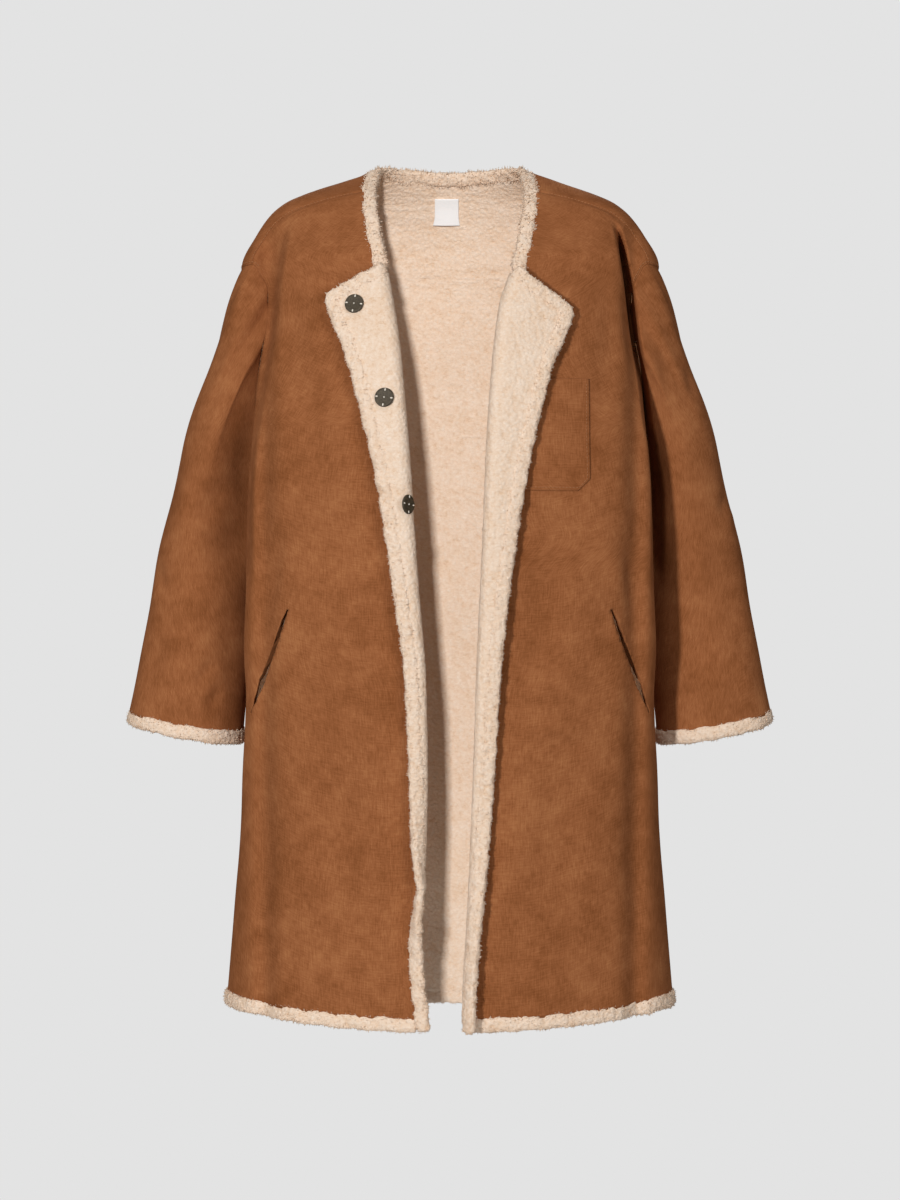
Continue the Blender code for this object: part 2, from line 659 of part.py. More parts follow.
def add_front_edging(name, lapel, hand):
    """Edging of a front: across the lapel's top, round its point and down."""
    middle, normal, _, notch = front_grid(lapel)
    top, top_normal = middle[notch, FRONT_COLUMNS:], normal[notch, FRONT_COLUMNS:]
    side, side_normal = middle[notch + 1:, -1], normal[notch + 1:, -1]
    below = side[-1:] + (side[-1:] - side[-2:-1]) / np.linalg.norm(side[-1] - side[-2]) * TRIM_WIDTH
    path = np.concatenate([top, side, below])
    facing = np.concatenate([top_normal, side_normal, side_normal[-1:]])
    out = outward(path, facing)
    up = np.array([0.0, 0.0, 1.0])
    if np.dot(out[1], up) < 0:
        out = -out
    path, facing, out = mirrored(path, hand), mirrored(facing, hand), mirrored(out, hand)
    return add_edging(name, path, out, facing)


def hem_ends():
    """Angles at which the hem edging starts and ends, clear of the front edgings."""
    ends = []
    for lapel in (LAPEL_LEFT, LAPEL_RIGHT):
        at = np.array([HEM_HEIGHT])
        out = fold_start(lapel, at)[0]
        towards, _, _ = fold_path(lapel, at, np.linspace(0, 1, 33))
        ends.append(angle_at(out - towards.max() + 3 * SEAM, HEM_HEIGHT))
    return ends


def add_hem_edging():
    """Edging of the hem, from one front edge round the back to the other."""
    left, right = hem_ends()
    angle = np.linspace(left, 2 * np.pi - right, 41)
    level = np.full(angle.shape, HEM_HEIGHT)
    normal = body_normal(angle, level)
    path = body(angle, level) - normal * CLOTH / 2
    out = outward(path, normal)
    if out[20][2] > 0:
        out = -out
    return add_edging("trim_hem", path, out, normal)


def add_cuff_edging(name, hand):
    """Ring of edging round the end of a sleeve."""
    points, normal = sleeve_grid()
    path = points[-1] - normal[-1] * CLOTH / 2
    out = unit(points[-1] - points[-2])
    path, out, facing = mirrored(path, hand), mirrored(out, hand), mirrored(normal[-1], hand)
    return add_edging(name, path, out, facing, closed=True)


def add_chest_pocket():
    """Patch pocket: a flat piece with its two lower corners cut off."""
    inner, outer = POCKET_OUT
    top, bottom = POCKET_HEIGHTS
    rows, columns = 7, 8
    v = np.linspace(0, 1, rows)[:, None]
    u = np.linspace(0, 1, columns)[None, :]
    height = top + (bottom - top) * v
    cut = POCKET_CHAMFER * np.clip((bottom + POCKET_CHAMFER - height) / POCKET_CHAMFER, 0, 1)
    out = inner + cut + (outer - inner - 2 * cut) * u
    angle = angle_at(out, height)
    level = height + 0 * out
    normal = body_normal(angle, level)
    middle = body(angle, level) + normal * (PATCH_LIFT * 2 + PATCH_THICK / 2)
    points, faces = thick_sheet(middle, normal, PATCH_THICK)
    return add_object("pocket_chest", points, faces, SUEDE)


def slit_points(shares):
    """Points out and up along a side pocket's opening."""
    shares = np.asarray(shares, float)
    out = SLIT_TOP[0] + (SLIT_BOTTOM[0] - SLIT_TOP[0]) * shares
    height = SLIT_TOP[1] + (SLIT_BOTTOM[1] - SLIT_TOP[1]) * shares
    return out, height


def cut_pocket_opening(front, hand):
    """Opening of a slanted side pocket, cut through the front."""
    out, height = slit_points([0.0, 0.33, 0.67, 1.0])
    angle = angle_at(out, height)
    centre = body(angle, height)
    normal = body_normal(angle, height)
    along = unit(np.gradient(centre, axis=0))
    across = unit(np.cross(along, normal))
    half = SLIT_WIDTH / 2
    section = np.array([(-half, -2 * CLOTH), (half, -2 * CLOTH), (half, CLOTH), (-half, CLOTH)])
    points, faces = swept(
        mirrored(centre, hand), mirrored(across, hand), mirrored(normal, hand), section
    )
    cutter = add_object(front.name + "_slit_cutter", points, faces, SUEDE)
    cutter.hide_render = True
    cutter.display_type = "WIRE"
    cut = front.modifiers.new("pocket_opening", "BOOLEAN")
    cut.operation = "DIFFERENCE"
    cut.solver = "EXACT"
    cut.object = cutter


def add_side_pocket(name, hand):
    """Pocket bag that lies flat against the inside of a front, behind its opening."""
    rows, columns = 6, 6
    v = np.linspace(0, 1, rows)[:, None]
    u = np.linspace(0, 1, columns)[None, :]
    mouth_out, mouth_height = slit_points(v)
    outer = mouth_out + BAG_PAST_MOUTH
    inner = mouth_out - BAG_REACH_IN * (0.55 + 0.45 * v)
    out = outer + (inner - outer) * u
    height = mouth_height + BAG_PAST_MOUTH - (BAG_DEEP + BAG_PAST_MOUTH) * v + 0 * u
    wide = read(SECTIONS, "height", "half_front", height)
    angle = angle_at(np.minimum(out, wide * 0.985), height)
    normal = body_normal(angle, height)
    over_fold = np.exp(-((out - ARM_FOLD_OUT) / (2 * ARM_FOLD_HALF_WIDTH)) ** 2)
    lift = CLOTH + BAG_LIFT + BAG_FOLD_LIFT * over_fold
    middle = body(angle, height) - normal * (lift + BAG_THICK / 2)[..., None]
    points, faces = thick_sheet(mirrored(middle, hand), mirrored(normal, hand), BAG_THICK)
    return add_object(name, points, faces, SUEDE)


def disc_on(centre, normal, radius, thickness, sides=12):
    """Points and faces of a shallow domed disc that stands on a point."""
    side = unit(np.cross(normal, np.array([0.0, 0.0, 1.0])))
    up = np.cross(side, normal)
    turn = np.linspace(0, 2 * np.pi, sides, endpoint=False)
    ring = np.cos(turn)[:, None] * side + np.sin(turn)[:, None] * up
    low = centre + ring * radius
    rim = low + normal * thickness * 0.55
    top = centre + ring * radius * 0.8 + normal * thickness
    points = np.concatenate([low, rim, top])
    faces = []
    for level in (0, 1):
        for k in range(sides):
            a, b = level * sides + k, level * sides + (k + 1) % sides
            faces.append([a, b, b + sides, a + sides])
    faces.append(list(range(sides - 1, -1, -1)))
    faces.append([2 * sides + k for k in range(sides)])
    return points, faces


def lapel_spot(lapel, height, from_edge):
    """Middle point of a lapel's cloth a distance in from its edge, and its normal.

    The normal points to the suede side.
    """
    reach = read(lapel, "height", "reach", np.array([height]))[0]
    share = 1 - (from_edge - TRIM_WIDTH) / (reach - TRIM_WIDTH)
    levels = height + np.array([0.004, 0.0, -0.004])
    patch = lapel_grid(lapel, levels, share + np.array([-0.04, 0.0, 0.04]))
    return patch[1, 1], -grid_normal(patch)[1, 1]


def add_snaps():
    """Three sewn snaps on the right front's pile side, and their mates on the left."""
    for number, height in enumerate(SNAP_HEIGHTS, start=1):
        centre, suede_way = lapel_spot(LAPEL_RIGHT, height, SNAP_FROM_EDGE)
        centre = centre - suede_way * (CLOTH / 2 + 2 * SEAM)
        points, faces = disc_on(mirrored(centre, -1), mirrored(-suede_way, -1), SNAP_RADIUS, SNAP_THICK)
        add_object(f"snap_right_{number}", points, faces, BRONZE)
        centre, suede_way = lapel_spot(LAPEL_LEFT, height, MATE_FROM_EDGE)
        centre = centre + suede_way * (CLOTH / 2 + 2 * SEAM)
        points, faces = disc_on(centre, suede_way, MATE_RADIUS, MATE_THICK)
        add_object(f"snap_left_{number}", points, faces, BRONZE)


def add_label():
    """Bare woven label on the pile inside the back of the neck."""
    wide, high = LABEL_SIZE
    u = np.linspace(-0.5, 0.5, 5)[None, :] * wide + LABEL_CENTRE[0]
    v = np.linspace(0.5, -0.5, 4)[:, None] * high + LABEL_CENTRE[1]
    height = v + 0 * u
    half = read(SECTIONS, "height", "half_back", height)
    angle = np.pi - np.arcsin(u / half)
    normal = body_normal(angle, height)
    middle = body(angle, height) - normal * (CLOTH + 3 * SEAM + LABEL_THICK / 2)
    points, faces = thick_sheet(middle, normal, LABEL_THICK)
    return add_object("label", points, faces, WHITE_TAPE)


def main():
    """Clear the scene and build every piece."""
    for old in list(bpy.data.objects):
        bpy.data.objects.remove(old)
    for name, lapel, hand in (("right", LAPEL_RIGHT, -1), ("left", LAPEL_LEFT, 1)):
        front = add_front("front_" + name, lapel, hand)
        cut_pocket_opening(front, hand)
        add_sleeve("sleeve_" + name, hand)
        add_front_edging("trim_front_" + name, lapel, hand)
        add_cuff_edging("trim_cuff_" + name, hand)
        add_side_pocket("pocket_side_" + name, hand)
    add_back()
    add_neck_edging()
    add_hem_edging()
    add_chest_pocket()
    add_snaps()
    add_label()


main()
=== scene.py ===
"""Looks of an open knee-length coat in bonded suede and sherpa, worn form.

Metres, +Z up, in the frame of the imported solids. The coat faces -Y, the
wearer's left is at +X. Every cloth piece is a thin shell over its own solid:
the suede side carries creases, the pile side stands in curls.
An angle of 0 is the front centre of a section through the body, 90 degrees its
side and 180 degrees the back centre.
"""

import logging
from dataclasses import dataclass, field
from enum import Enum
from typing import Callable, NamedTuple

import bmesh
import bpy
import numpy as np
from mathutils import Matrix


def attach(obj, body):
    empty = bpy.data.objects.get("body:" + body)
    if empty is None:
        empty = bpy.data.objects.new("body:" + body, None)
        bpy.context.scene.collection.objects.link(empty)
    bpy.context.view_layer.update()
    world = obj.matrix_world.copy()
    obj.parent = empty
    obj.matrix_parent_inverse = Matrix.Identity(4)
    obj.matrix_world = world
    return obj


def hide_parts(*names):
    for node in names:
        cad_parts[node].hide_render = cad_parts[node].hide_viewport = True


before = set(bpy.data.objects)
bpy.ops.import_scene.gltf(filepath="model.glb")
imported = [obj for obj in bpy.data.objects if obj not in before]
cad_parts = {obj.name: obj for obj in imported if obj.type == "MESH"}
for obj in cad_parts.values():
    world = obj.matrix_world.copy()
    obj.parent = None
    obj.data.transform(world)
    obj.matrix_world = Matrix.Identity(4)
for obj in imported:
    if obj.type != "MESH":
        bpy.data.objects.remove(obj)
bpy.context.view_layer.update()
LOG = logging.getLogger("coat")

CLOTH = 0.006            # suede and clipped pile together
SEAM = 0.0003            # clear space between two sewn pieces
SEAM_DIPS = np.array([0.0004, 0.00016])   # how far suede sinks at a seam and one row on
STIFF = 0.012            # way from a panel's seam over which its creases come in
STIFF_PILE = 0.014       # the same for the pile, and for a sleeve
TRIM_WIDTH = 0.016       # pile edging, across
TRIM_THICK = 0.0088
ROLL_RADIUS = 0.0085     # middle of the cloth where a lapel turns over
LAPEL_EDGE_CLEAR = 0.0070

HEM_HEIGHT = -0.972      # cut edge of the suede, front and back centre
HEM_SIDE_RISE = 0.017
HEM_RISE_FROM = -0.55
NECK_TOP = 0.004
COLLAR_POINT = -0.0235   # where the shoulder seams meet the neck edging
ARMHOLE_TOP = -0.108
ARMHOLE_BOTTOM = -0.300
ARMHOLE_MIDDLE = (ARMHOLE_TOP + ARMHOLE_BOTTOM) / 2
ARMHOLE_HALF = ARMHOLE_TOP - ARMHOLE_MIDDLE
NOTCH_TURN = 36          # turn of the armhole level with the collar notch

ARM_FOLD_DEPTH = 0.010
ARM_FOLD_OUT = 0.212
ARM_FOLD_HALF_WIDTH = 0.012
ARM_FOLD_FROM = -0.045
ARM_FOLD_FULL = -0.100
CUFF_FRONT_DROP = 0.006


class Hand(Enum):
    """Side of the coat, as the wearer has it; the value is the sign of X."""

    RIGHT = -1
    LEFT = 1

    @property
    def word(self) -> str:
        """The hand in lower case, as the solids' names have it."""
        return self.name.lower()


class Section(NamedTuple):
    """One section through the body: half widths, depths and the side's place."""

    height: float
    half_front: float
    half_back: float
    side_y: float
    front_depth: float
    back_depth: float
    back_power: float


SECTIONS = (
    Section(0.0060, 0.0930, 0.0930, 0.004, 0.012, 0.053, 2.0),
    Section(-0.0005, 0.1040, 0.1040, 0.004, 0.018, 0.057, 2.0),
    Section(-0.0058, 0.1205, 0.1205, 0.003, 0.023, 0.061, 2.0),
    Section(-0.0152, 0.1498, 0.1498, 0.002, 0.034, 0.069, 2.0),
    Section(-0.0246, 0.1735, 0.1735, 0.001, 0.044, 0.076, 2.0),
    Section(-0.0339, 0.1930, 0.1930, 0.000, 0.052, 0.082, 2.0),
    Section(-0.0480, 0.2105, 0.2105, -0.001, 0.062, 0.090, 2.1),
    Section(-0.0714, 0.2265, 0.2265, -0.003, 0.074, 0.100, 2.1),
    Section(-0.1080, 0.2430, 0.2430, -0.008, 0.086, 0.113, 2.2),
    Section(-0.1300, 0.2320, 0.2510, -0.018, 0.086, 0.128, 2.3),
    Section(-0.1600, 0.2160, 0.2480, -0.032, 0.080, 0.147, 2.3),
    Section(-0.2000, 0.2120, 0.2390, -0.044, 0.077, 0.164, 2.3),
    Section(-0.2500, 0.2200, 0.2310, -0.054, 0.077, 0.178, 2.2),
    Section(-0.3000, 0.2285, 0.2285, -0.060, 0.078, 0.186, 2.0),
    Section(-0.3800, 0.2345, 0.2345, -0.062, 0.078, 0.189, 2.0),
    Section(-0.5000, 0.2355, 0.2355, -0.058, 0.081, 0.186, 2.0),
    Section(-0.6500, 0.2380, 0.2380, -0.044, 0.092, 0.172, 2.0),
    Section(-0.8000, 0.2450, 0.2450, -0.020, 0.112, 0.150, 2.0),
    Section(-0.9000, 0.2540, 0.2540, -0.006, 0.124, 0.138, 2.0),
    Section(-1.0000, 0.2640, 0.2640, 0.000, 0.130, 0.132, 2.0),
)


class Seam(NamedTuple):
    """Angle on the section at which a seam lies, at one height."""

    height: float
    angle: float


SHOULDER_SEAM = (
    Seam(-0.0235, 36.0),
    Seam(-0.0290, 43.5),
    Seam(-0.0390, 54.0),
    Seam(-0.0490, 63.0),
    Seam(-0.0700, 69.0),
    Seam(-0.1080, 71.0),
)
SIDE_SEAM = (Seam(-0.3000, 117.0), Seam(-0.5000, 115.0), Seam(-0.7500, 105.0), Seam(-1.0000, 96.0))


class Armhole(NamedTuple):
    """Armhole: its turn goes from 0 at the top to 180 degrees at the underarm."""

    turn: float
    front_angle: float
    back_angle: float


ARMHOLE = (
    Armhole(0, 71, 71),
    Armhole(20, 67, 92),
    Armhole(40, 67, 110),
    Armhole(65, 80, 124),
    Armhole(90, 91, 131),
    Armhole(120, 99, 134),
    Armhole(150, 107, 129),
    Armhole(180, 117, 117),
)


class NeckEdge(NamedTuple):
    """Neck edge of the cloth: how far out from the centre it lies."""

    height: float
    out: float


NECK_EDGE = (
    NeckEdge(0.0040, 0.0955),
    NeckEdge(-0.0030, 0.0975),
    NeckEdge(-0.0120, 0.0990),
    NeckEdge(-0.0340, 0.0995),
    NeckEdge(-0.0650, 0.0945),
    NeckEdge(-0.0900, 0.0905),
    NeckEdge(-0.1263, 0.0810),
)


class Lapel(NamedTuple):
    """Roll line of a front, the cloth past its fold, its turn, drop and roll radius."""

    height: float
    roll_out: float
    reach: float
    turn: float
    drop: float
    radius: float = ROLL_RADIUS


LAPELS = {
    Hand.RIGHT: (
        Lapel(-0.126, 0.0690, 0.0890, 1.00, 0.033),
        Lapel(-0.158, 0.0633, 0.0850, 1.00, 0.026),
        Lapel(-0.203, 0.0565, 0.0775, 1.00, 0.018),
        Lapel(-0.271, 0.0500, 0.0675, 1.00, 0.013),
        Lapel(-0.339, 0.0445, 0.058, 1.00, 0.009),
        Lapel(-0.418, 0.0395, 0.050, 1.00, 0.005, 0.0083),
        Lapel(-0.497, 0.0340, 0.043, 1.00, 0.003, 0.0076),
        Lapel(-0.587, 0.0270, 0.036, 1.00, 0.000, 0.0060),
        Lapel(-0.700, 0.0250, 0.032, 0.96, 0.000, 0.0052),
        Lapel(-0.770, 0.0265, 0.031, 0.84, 0.000, 0.0052),
        Lapel(-0.850, 0.0305, 0.030, 0.46, 0.000, 0.0055),
        Lapel(-0.900, 0.0285, 0.030, 0.24, 0.000, 0.0065),
        Lapel(-1.000, 0.0175, 0.030, 0.14, 0.000),
    ),
    Hand.LEFT: (
        Lapel(-0.126, 0.0670, 0.0890, 1.00, 0.049),
        Lapel(-0.158, 0.0560, 0.0910, 1.00, 0.038),
        Lapel(-0.203, 0.0495, 0.0835, 1.00, 0.027),
        Lapel(-0.271, 0.0435, 0.074, 1.00, 0.018),
        Lapel(-0.339, 0.0395, 0.065, 1.00, 0.012),
        Lapel(-0.418, 0.0365, 0.056, 1.00, 0.007),
        Lapel(-0.497, 0.0330, 0.049, 1.00, 0.003),
        Lapel(-0.587, 0.0290, 0.043, 1.00, 0.000, 0.0078),
        Lapel(-0.700, 0.0255, 0.037, 1.00, 0.000, 0.0064),
        Lapel(-0.800, 0.0215, 0.032, 0.96, 0.000, 0.0054),
        Lapel(-0.860, 0.0185, 0.031, 0.88, 0.000, 0.0053),
        Lapel(-0.930, 0.0145, 0.031, 0.82, 0.000, 0.0053),
        Lapel(-1.000, 0.0125, 0.031, 0.80, 0.000, 0.0053),
    ),
}


class SleeveStep(NamedTuple):
    """One step down a sleeve: its outer and inner lines, depth and backward lean."""

    along: float
    outer_x: float
    outer_z: float
    inner_x: float
    inner_z: float
    middle_y: float
    half_depth: float
    lean: float


SLEEVE = (
    SleeveStep(0.00, 0.2420, -0.108, 0.2020, -0.300, 0.026, 0.062, 0.20),
    SleeveStep(0.12, 0.2670, -0.160, 0.2060, -0.338, 0.034, 0.069, 0.26),
    SleeveStep(0.26, 0.2885, -0.235, 0.2130, -0.385, 0.042, 0.071, 0.28),
    SleeveStep(0.42, 0.3095, -0.317, 0.2210, -0.440, 0.047, 0.067, 0.26),
    SleeveStep(0.58, 0.3325, -0.403, 0.2280, -0.497, 0.048, 0.061, 0.22),
    SleeveStep(0.74, 0.3505, -0.490, 0.2335, -0.552, 0.045, 0.055, 0.16),
    SleeveStep(0.88, 0.3665, -0.565, 0.2385, -0.606, 0.040, 0.051, 0.08),
    SleeveStep(1.00, 0.3775, -0.628, 0.2430, -0.652, 0.036, 0.048, 0.00),
)


class FoldLine(NamedTuple):
    """Line of the fold between a front and its sleeve, at one height.

    out is how far out it lies, behind the depth at which it has died out,
    fading the way over which it does and spread how wide it is on the sleeve's
    side, against the hand's own width.
    """

    height: float
    out: float
    behind: float
    fading: float
    spread: float


ARM_FOLD_LINE = (
    FoldLine(-0.0600, 0.1915, 0.027, 0.035, 0.6),
    FoldLine(-0.0860, 0.1970, 0.024, 0.035, 0.7),
    FoldLine(-0.1050, 0.2000, 0.020, 0.035, 0.8),
    FoldLine(-0.1450, 0.2055, 0.010, 0.040, 1.0),
    FoldLine(-0.2015, 0.2130, 0.006, 0.055, 1.0),
    FoldLine(-0.2526, 0.2212, 0.010, 0.060, 1.0),
    FoldLine(-0.2924, 0.2260, 0.020, 0.060, 1.1),
    FoldLine(-0.3208, 0.2310, 0.030, 0.060, 1.2),
    FoldLine(-0.3800, 0.2348, 0.042, 0.060, 1.7),
    FoldLine(-0.4800, 0.2355, 0.042, 0.060, 1.8),
)


class ArmFold(NamedTuple):
    """One hand's arm fold: how deep it is at its top and foot, and its widths.

    wall is the share of the sleeve's side over which it comes up again, and
    loose how far the sleeve goes back inward of the line too, 1 for all the way.
    """

    depth: float
    foot_depth: float
    front_side: float
    sleeve_side: float
    wall: float
    loose: float


ARM_FOLDS = {
    Hand.RIGHT: ArmFold(0.026, 0.015, 0.012, 0.046, 1.0, 1.0),
    Hand.LEFT: ArmFold(0.040, 0.038, 0.005, 0.0095, 0.75, 0.0),
}
ARM_FOLD_NARROWS = (-0.220, -0.380)
ARM_FOLD_TOP = (-0.056, -0.100)
ARM_FOLD_END = (-0.500, -0.420)


class Crease(NamedTuple):
    """A soft trough (depth below 0) or ridge: its two ends, half width and depth.

    The ends are pairs in the panel's own coordinates: out and height on a front
    or the back, turn in degrees and share of the length on a sleeve.
    """

    start: tuple[float, float]
    end: tuple[float, float]
    half_width: float
    depth: float


FRONT_CREASES = {
    Hand.RIGHT: (
        Crease((0.176, -0.070), (0.203, -0.270), 0.0120, 0.0022),
        Crease((0.186, -0.150), (0.150, -0.330), 0.020, -0.0022),
        Crease((0.120, -0.250), (0.135, -0.440), 0.026, 0.0020),
        Crease((0.190, -0.400), (0.205, -0.520), 0.011, -0.0026),
        Crease((0.160, -0.455), (0.192, -0.560), 0.014, 0.0022),
        Crease((0.100, -0.560), (0.150, -0.640), 0.016, -0.0016),
        Crease((0.165, -0.660), (0.190, -0.950), 0.030, 0.0016),
        Crease((0.120, -0.700), (0.118, -0.960), 0.026, -0.0016),
        Crease((0.070, -0.620), (0.066, -0.930), 0.022, 0.0012),
    ),
    Hand.LEFT: (
        Crease((0.178, -0.070), (0.204, -0.270), 0.0120, 0.0024),
        Crease((0.105, -0.648), (0.155, -0.668), 0.008, -0.0022),
        Crease((0.100, -0.640), (0.160, -0.650), 0.013, 0.0014),
        Crease((0.186, -0.160), (0.170, -0.300), 0.018, -0.0020),
        Crease((0.170, -0.400), (0.196, -0.500), 0.014, 0.0022),
        Crease((0.205, -0.430), (0.212, -0.560), 0.011, -0.0020),
        Crease((0.095, -0.450), (0.110, -0.600), 0.024, -0.0016),
        Crease((0.170, -0.690), (0.200, -0.955), 0.028, 0.0014),
        Crease((0.130, -0.730), (0.135, -0.960), 0.026, -0.0014),
        Crease((0.080, -0.700), (0.085, -0.950), 0.024, 0.0012),
    ),
}
BACK_CREASES = (
    Crease((-0.150, -0.160), (-0.060, -0.240), 0.018, -0.0024),
    Crease((0.155, -0.170), (0.070, -0.235), 0.020, -0.0022),
    Crease((-0.170, -0.240), (-0.130, -0.420), 0.022, 0.0026),
    Crease((0.165, -0.250), (0.140, -0.400), 0.020, 0.0024),
    Crease((-0.100, -0.470), (0.020, -0.510), 0.020, -0.0020),
    Crease((0.030, -0.430), (0.120, -0.480), 0.018, -0.0020),
    Crease((-0.140, -0.560), (-0.155, -0.950), 0.030, -0.0034),
    Crease((-0.065, -0.600), (-0.070, -0.960), 0.030, 0.0036),
    Crease((0.010, -0.620), (0.015, -0.955), 0.028, -0.0032),
    Crease((0.085, -0.590), (0.095, -0.960), 0.030, 0.0034),
    Crease((0.160, -0.640), (0.175, -0.950), 0.026, -0.0030),
)
SLEEVE_CREASES = {
    Hand.RIGHT: (
        Crease((60, 0.06), (96, 0.36), 0.014, -0.0040),
        Crease((110, 0.30), (80, 0.52), 0.012, -0.0030),
        Crease((46, 0.34), (60, 0.60), 0.016, 0.0024),
        Crease((28, 0.66), (54, 0.71), 0.009, -0.0022),
        Crease((26, 0.70), (46, 0.76), 0.010, 0.0016),
        Crease((90, 0.62), (70, 0.90), 0.016, 0.0024),
        Crease((118, 0.80), (98, 0.90), 0.008, -0.0034),
        Crease((126, 0.86), (112, 0.96), 0.008, -0.0028),
        Crease((60, 0.80), (40, 0.97), 0.014, -0.0018),
        Crease((230, 0.40), (200, 0.52), 0.010, -0.0034),
        Crease((250, 0.46), (215, 0.60), 0.012, 0.0030),
        Crease((300, 0.15), (262, 0.42), 0.016, -0.0036),
        Crease((320, 0.50), (280, 0.58), 0.010, -0.0026),
        Crease((290, 0.68), (240, 0.80), 0.013, 0.0024),
    ),
    Hand.LEFT: (
        Crease((66, 0.10), (92, 0.30), 0.012, -0.0026),
        Crease((20, 0.22), (54, 0.27), 0.010, -0.0022),
        Crease((26, 0.50), (58, 0.53), 0.009, -0.0022),
        Crease((24, 0.54), (52, 0.58), 0.011, 0.0016),
        Crease((84, 0.50), (100, 0.70), 0.014, 0.0022),
        Crease((48, 0.60), (66, 0.84), 0.018, -0.0018),
        Crease((60, 0.84), (44, 0.96), 0.013, 0.0018),
        Crease((110, 0.72), (92, 0.90), 0.010, -0.0022),
        Crease((235, 0.42), (205, 0.50), 0.010, -0.0032),
        Crease((255, 0.50), (222, 0.62), 0.012, 0.0028),
        Crease((305, 0.12), (268, 0.38), 0.016, -0.0034),
        Crease((325, 0.54), (286, 0.60), 0.010, -0.0024),
        Crease((285, 0.72), (245, 0.84), 0.012, 0.0022),
    ),
}


def ease(low: float, high: float, value: np.ndarray) -> np.ndarray:
    """Smooth step from 0 at low to 1 at high."""
    share = np.clip((np.asarray(value, float) - low) / (high - low), 0.0, 1.0)
    return share * share * (3.0 - 2.0 * share)


def read(table: tuple, key: str, column: str, at: np.ndarray) -> np.ndarray:
    """Smooth curve through one column of a table, read at the key's values.

    Each interval is a cubic whose end slopes are the harmonic mean of the
    slopes on both sides, so the curve never overshoots the table.

    Args:
        table: rows, in order of the key.
        key: name of the column that the curve runs along.
        column: name of the column that is read.
        at: values of the key.

    Returns:
        The column's value at each.
    """
    x = np.array([getattr(row, key) for row in table], float)
    y = np.array([getattr(row, column) for row in table], float)
    if x[0] > x[-1]:
        x, y = x[::-1], y[::-1]
    step = np.diff(x)
    slope = np.diff(y) / step
    ends = np.zeros_like(y)
    same = slope[:-1] * slope[1:] > 0
    ends[1:-1][same] = 2.0 / (1.0 / slope[:-1][same] + 1.0 / slope[1:][same])
    ends[0], ends[-1] = slope[0], slope[-1]
    at = np.clip(np.asarray(at, float), x[0], x[-1])
    k = np.clip(np.searchsorted(x, at) - 1, 0, len(step) - 1)
    t = (at - x[k]) / step[k]
    a = (1 + 2 * t) * (1 - t) ** 2
    b = t * (1 - t) ** 2
    c = t * t * (3 - 2 * t)
    d = t * t * (t - 1)
    return a * y[k] + b * step[k] * ends[k] + c * y[k + 1] + d * step[k] * ends[k + 1]


def unit(vectors: np.ndarray) -> np.ndarray:
    """Vectors brought to length 1."""
    return vectors / np.maximum(np.linalg.norm(vectors, axis=-1, keepdims=True), 1e-9)


def travelled(path: np.ndarray) -> np.ndarray:
    """Length gone along a path at each of its points."""
    return np.concatenate([[0.0], np.cumsum(np.linalg.norm(np.diff(path, axis=0), axis=-1))])


def read_path(path: np.ndarray, at: np.ndarray, gone: np.ndarray) -> np.ndarray:
    """Rows of a path, or of its normals, read at the lengths given."""
    return np.stack([np.interp(at, gone, path[:, k]) for k in range(3)], axis=-1)


def circle(count: int) -> np.ndarray:
    """Even turns round a full circle, in radians."""
    return np.linspace(0, 2 * np.pi, count, endpoint=False)


def mirrored(points: np.ndarray, hand: Hand) -> np.ndarray:
    """Points made at +X, moved to the hand's own side."""
    return points * np.array([hand.value, 1.0, 1.0])


def half_width(angle: np.ndarray, height: np.ndarray) -> np.ndarray:
    """Half width of the section: the front's and the back's, joined softly at the side."""
    share = ease(np.radians(82), np.radians(112), angle)
    front = read(SECTIONS, "height", "half_front", height)
    back = read(SECTIONS, "height", "half_back", height)
    return front + (back - front) * share


def body(angle: np.ndarray, height: np.ndarray) -> np.ndarray:
    """Outer face of the body: x = w sin(angle), y = side - depth cos(angle), per height.

    In front the section is an ellipse arc and behind it a rounder one; a fold
    beside the arm pushes the front in, and the hem rises towards the sides.
    """
    angle, height = np.broadcast_arrays(np.asarray(angle, float), np.asarray(height, float))
    turn = np.clip(np.where(angle > np.pi, 2 * np.pi - angle, angle), 0, np.pi)
    hand = np.where(angle > np.pi, -1.0, 1.0)
    cos, sin = np.cos(turn), np.sin(turn)
    wide = half_width(turn, height)
    power = np.where(cos > 0, 2.0, read(SECTIONS, "height", "back_power", height))
    depth = np.where(
        cos > 0,
        read(SECTIONS, "height", "front_depth", height),
        read(SECTIONS, "height", "back_depth", height),
    )
    x = wide * sin ** (2 / power)
    y = read(SECTIONS, "height", "side_y", height) - depth * np.sign(cos) * np.abs(cos) ** (2 / power)
    fold = np.exp(-((x - ARM_FOLD_OUT) / ARM_FOLD_HALF_WIDTH) ** 2)
    fold = fold * ease(ARM_FOLD_FROM, ARM_FOLD_FULL, height) * (cos > 0) * ease(0.02, 0.25, cos)
    y = y + ARM_FOLD_DEPTH * fold
    rise = HEM_SIDE_RISE * sin ** 2 * ease(HEM_RISE_FROM, HEM_HEIGHT, height)
    return np.stack([hand * x, y, height + rise], axis=-1)


def body_normal(angle: np.ndarray, height: np.ndarray) -> np.ndarray:
    """Outward unit normal of the body surface, from its own small differences."""
    small_turn, small_drop = 0.004, 0.0015
    round_it = body(angle + small_turn, height) - body(angle - small_turn, height)
    down_it = body(angle, height - small_drop) - body(angle, height + small_drop)
    return unit(np.cross(down_it, round_it))


def skin(angle: np.ndarray, height: np.ndarray) -> tuple[np.ndarray, np.ndarray]:
    """Points of the body's outer face and its normals there."""
    return body(angle, height), body_normal(angle, height)


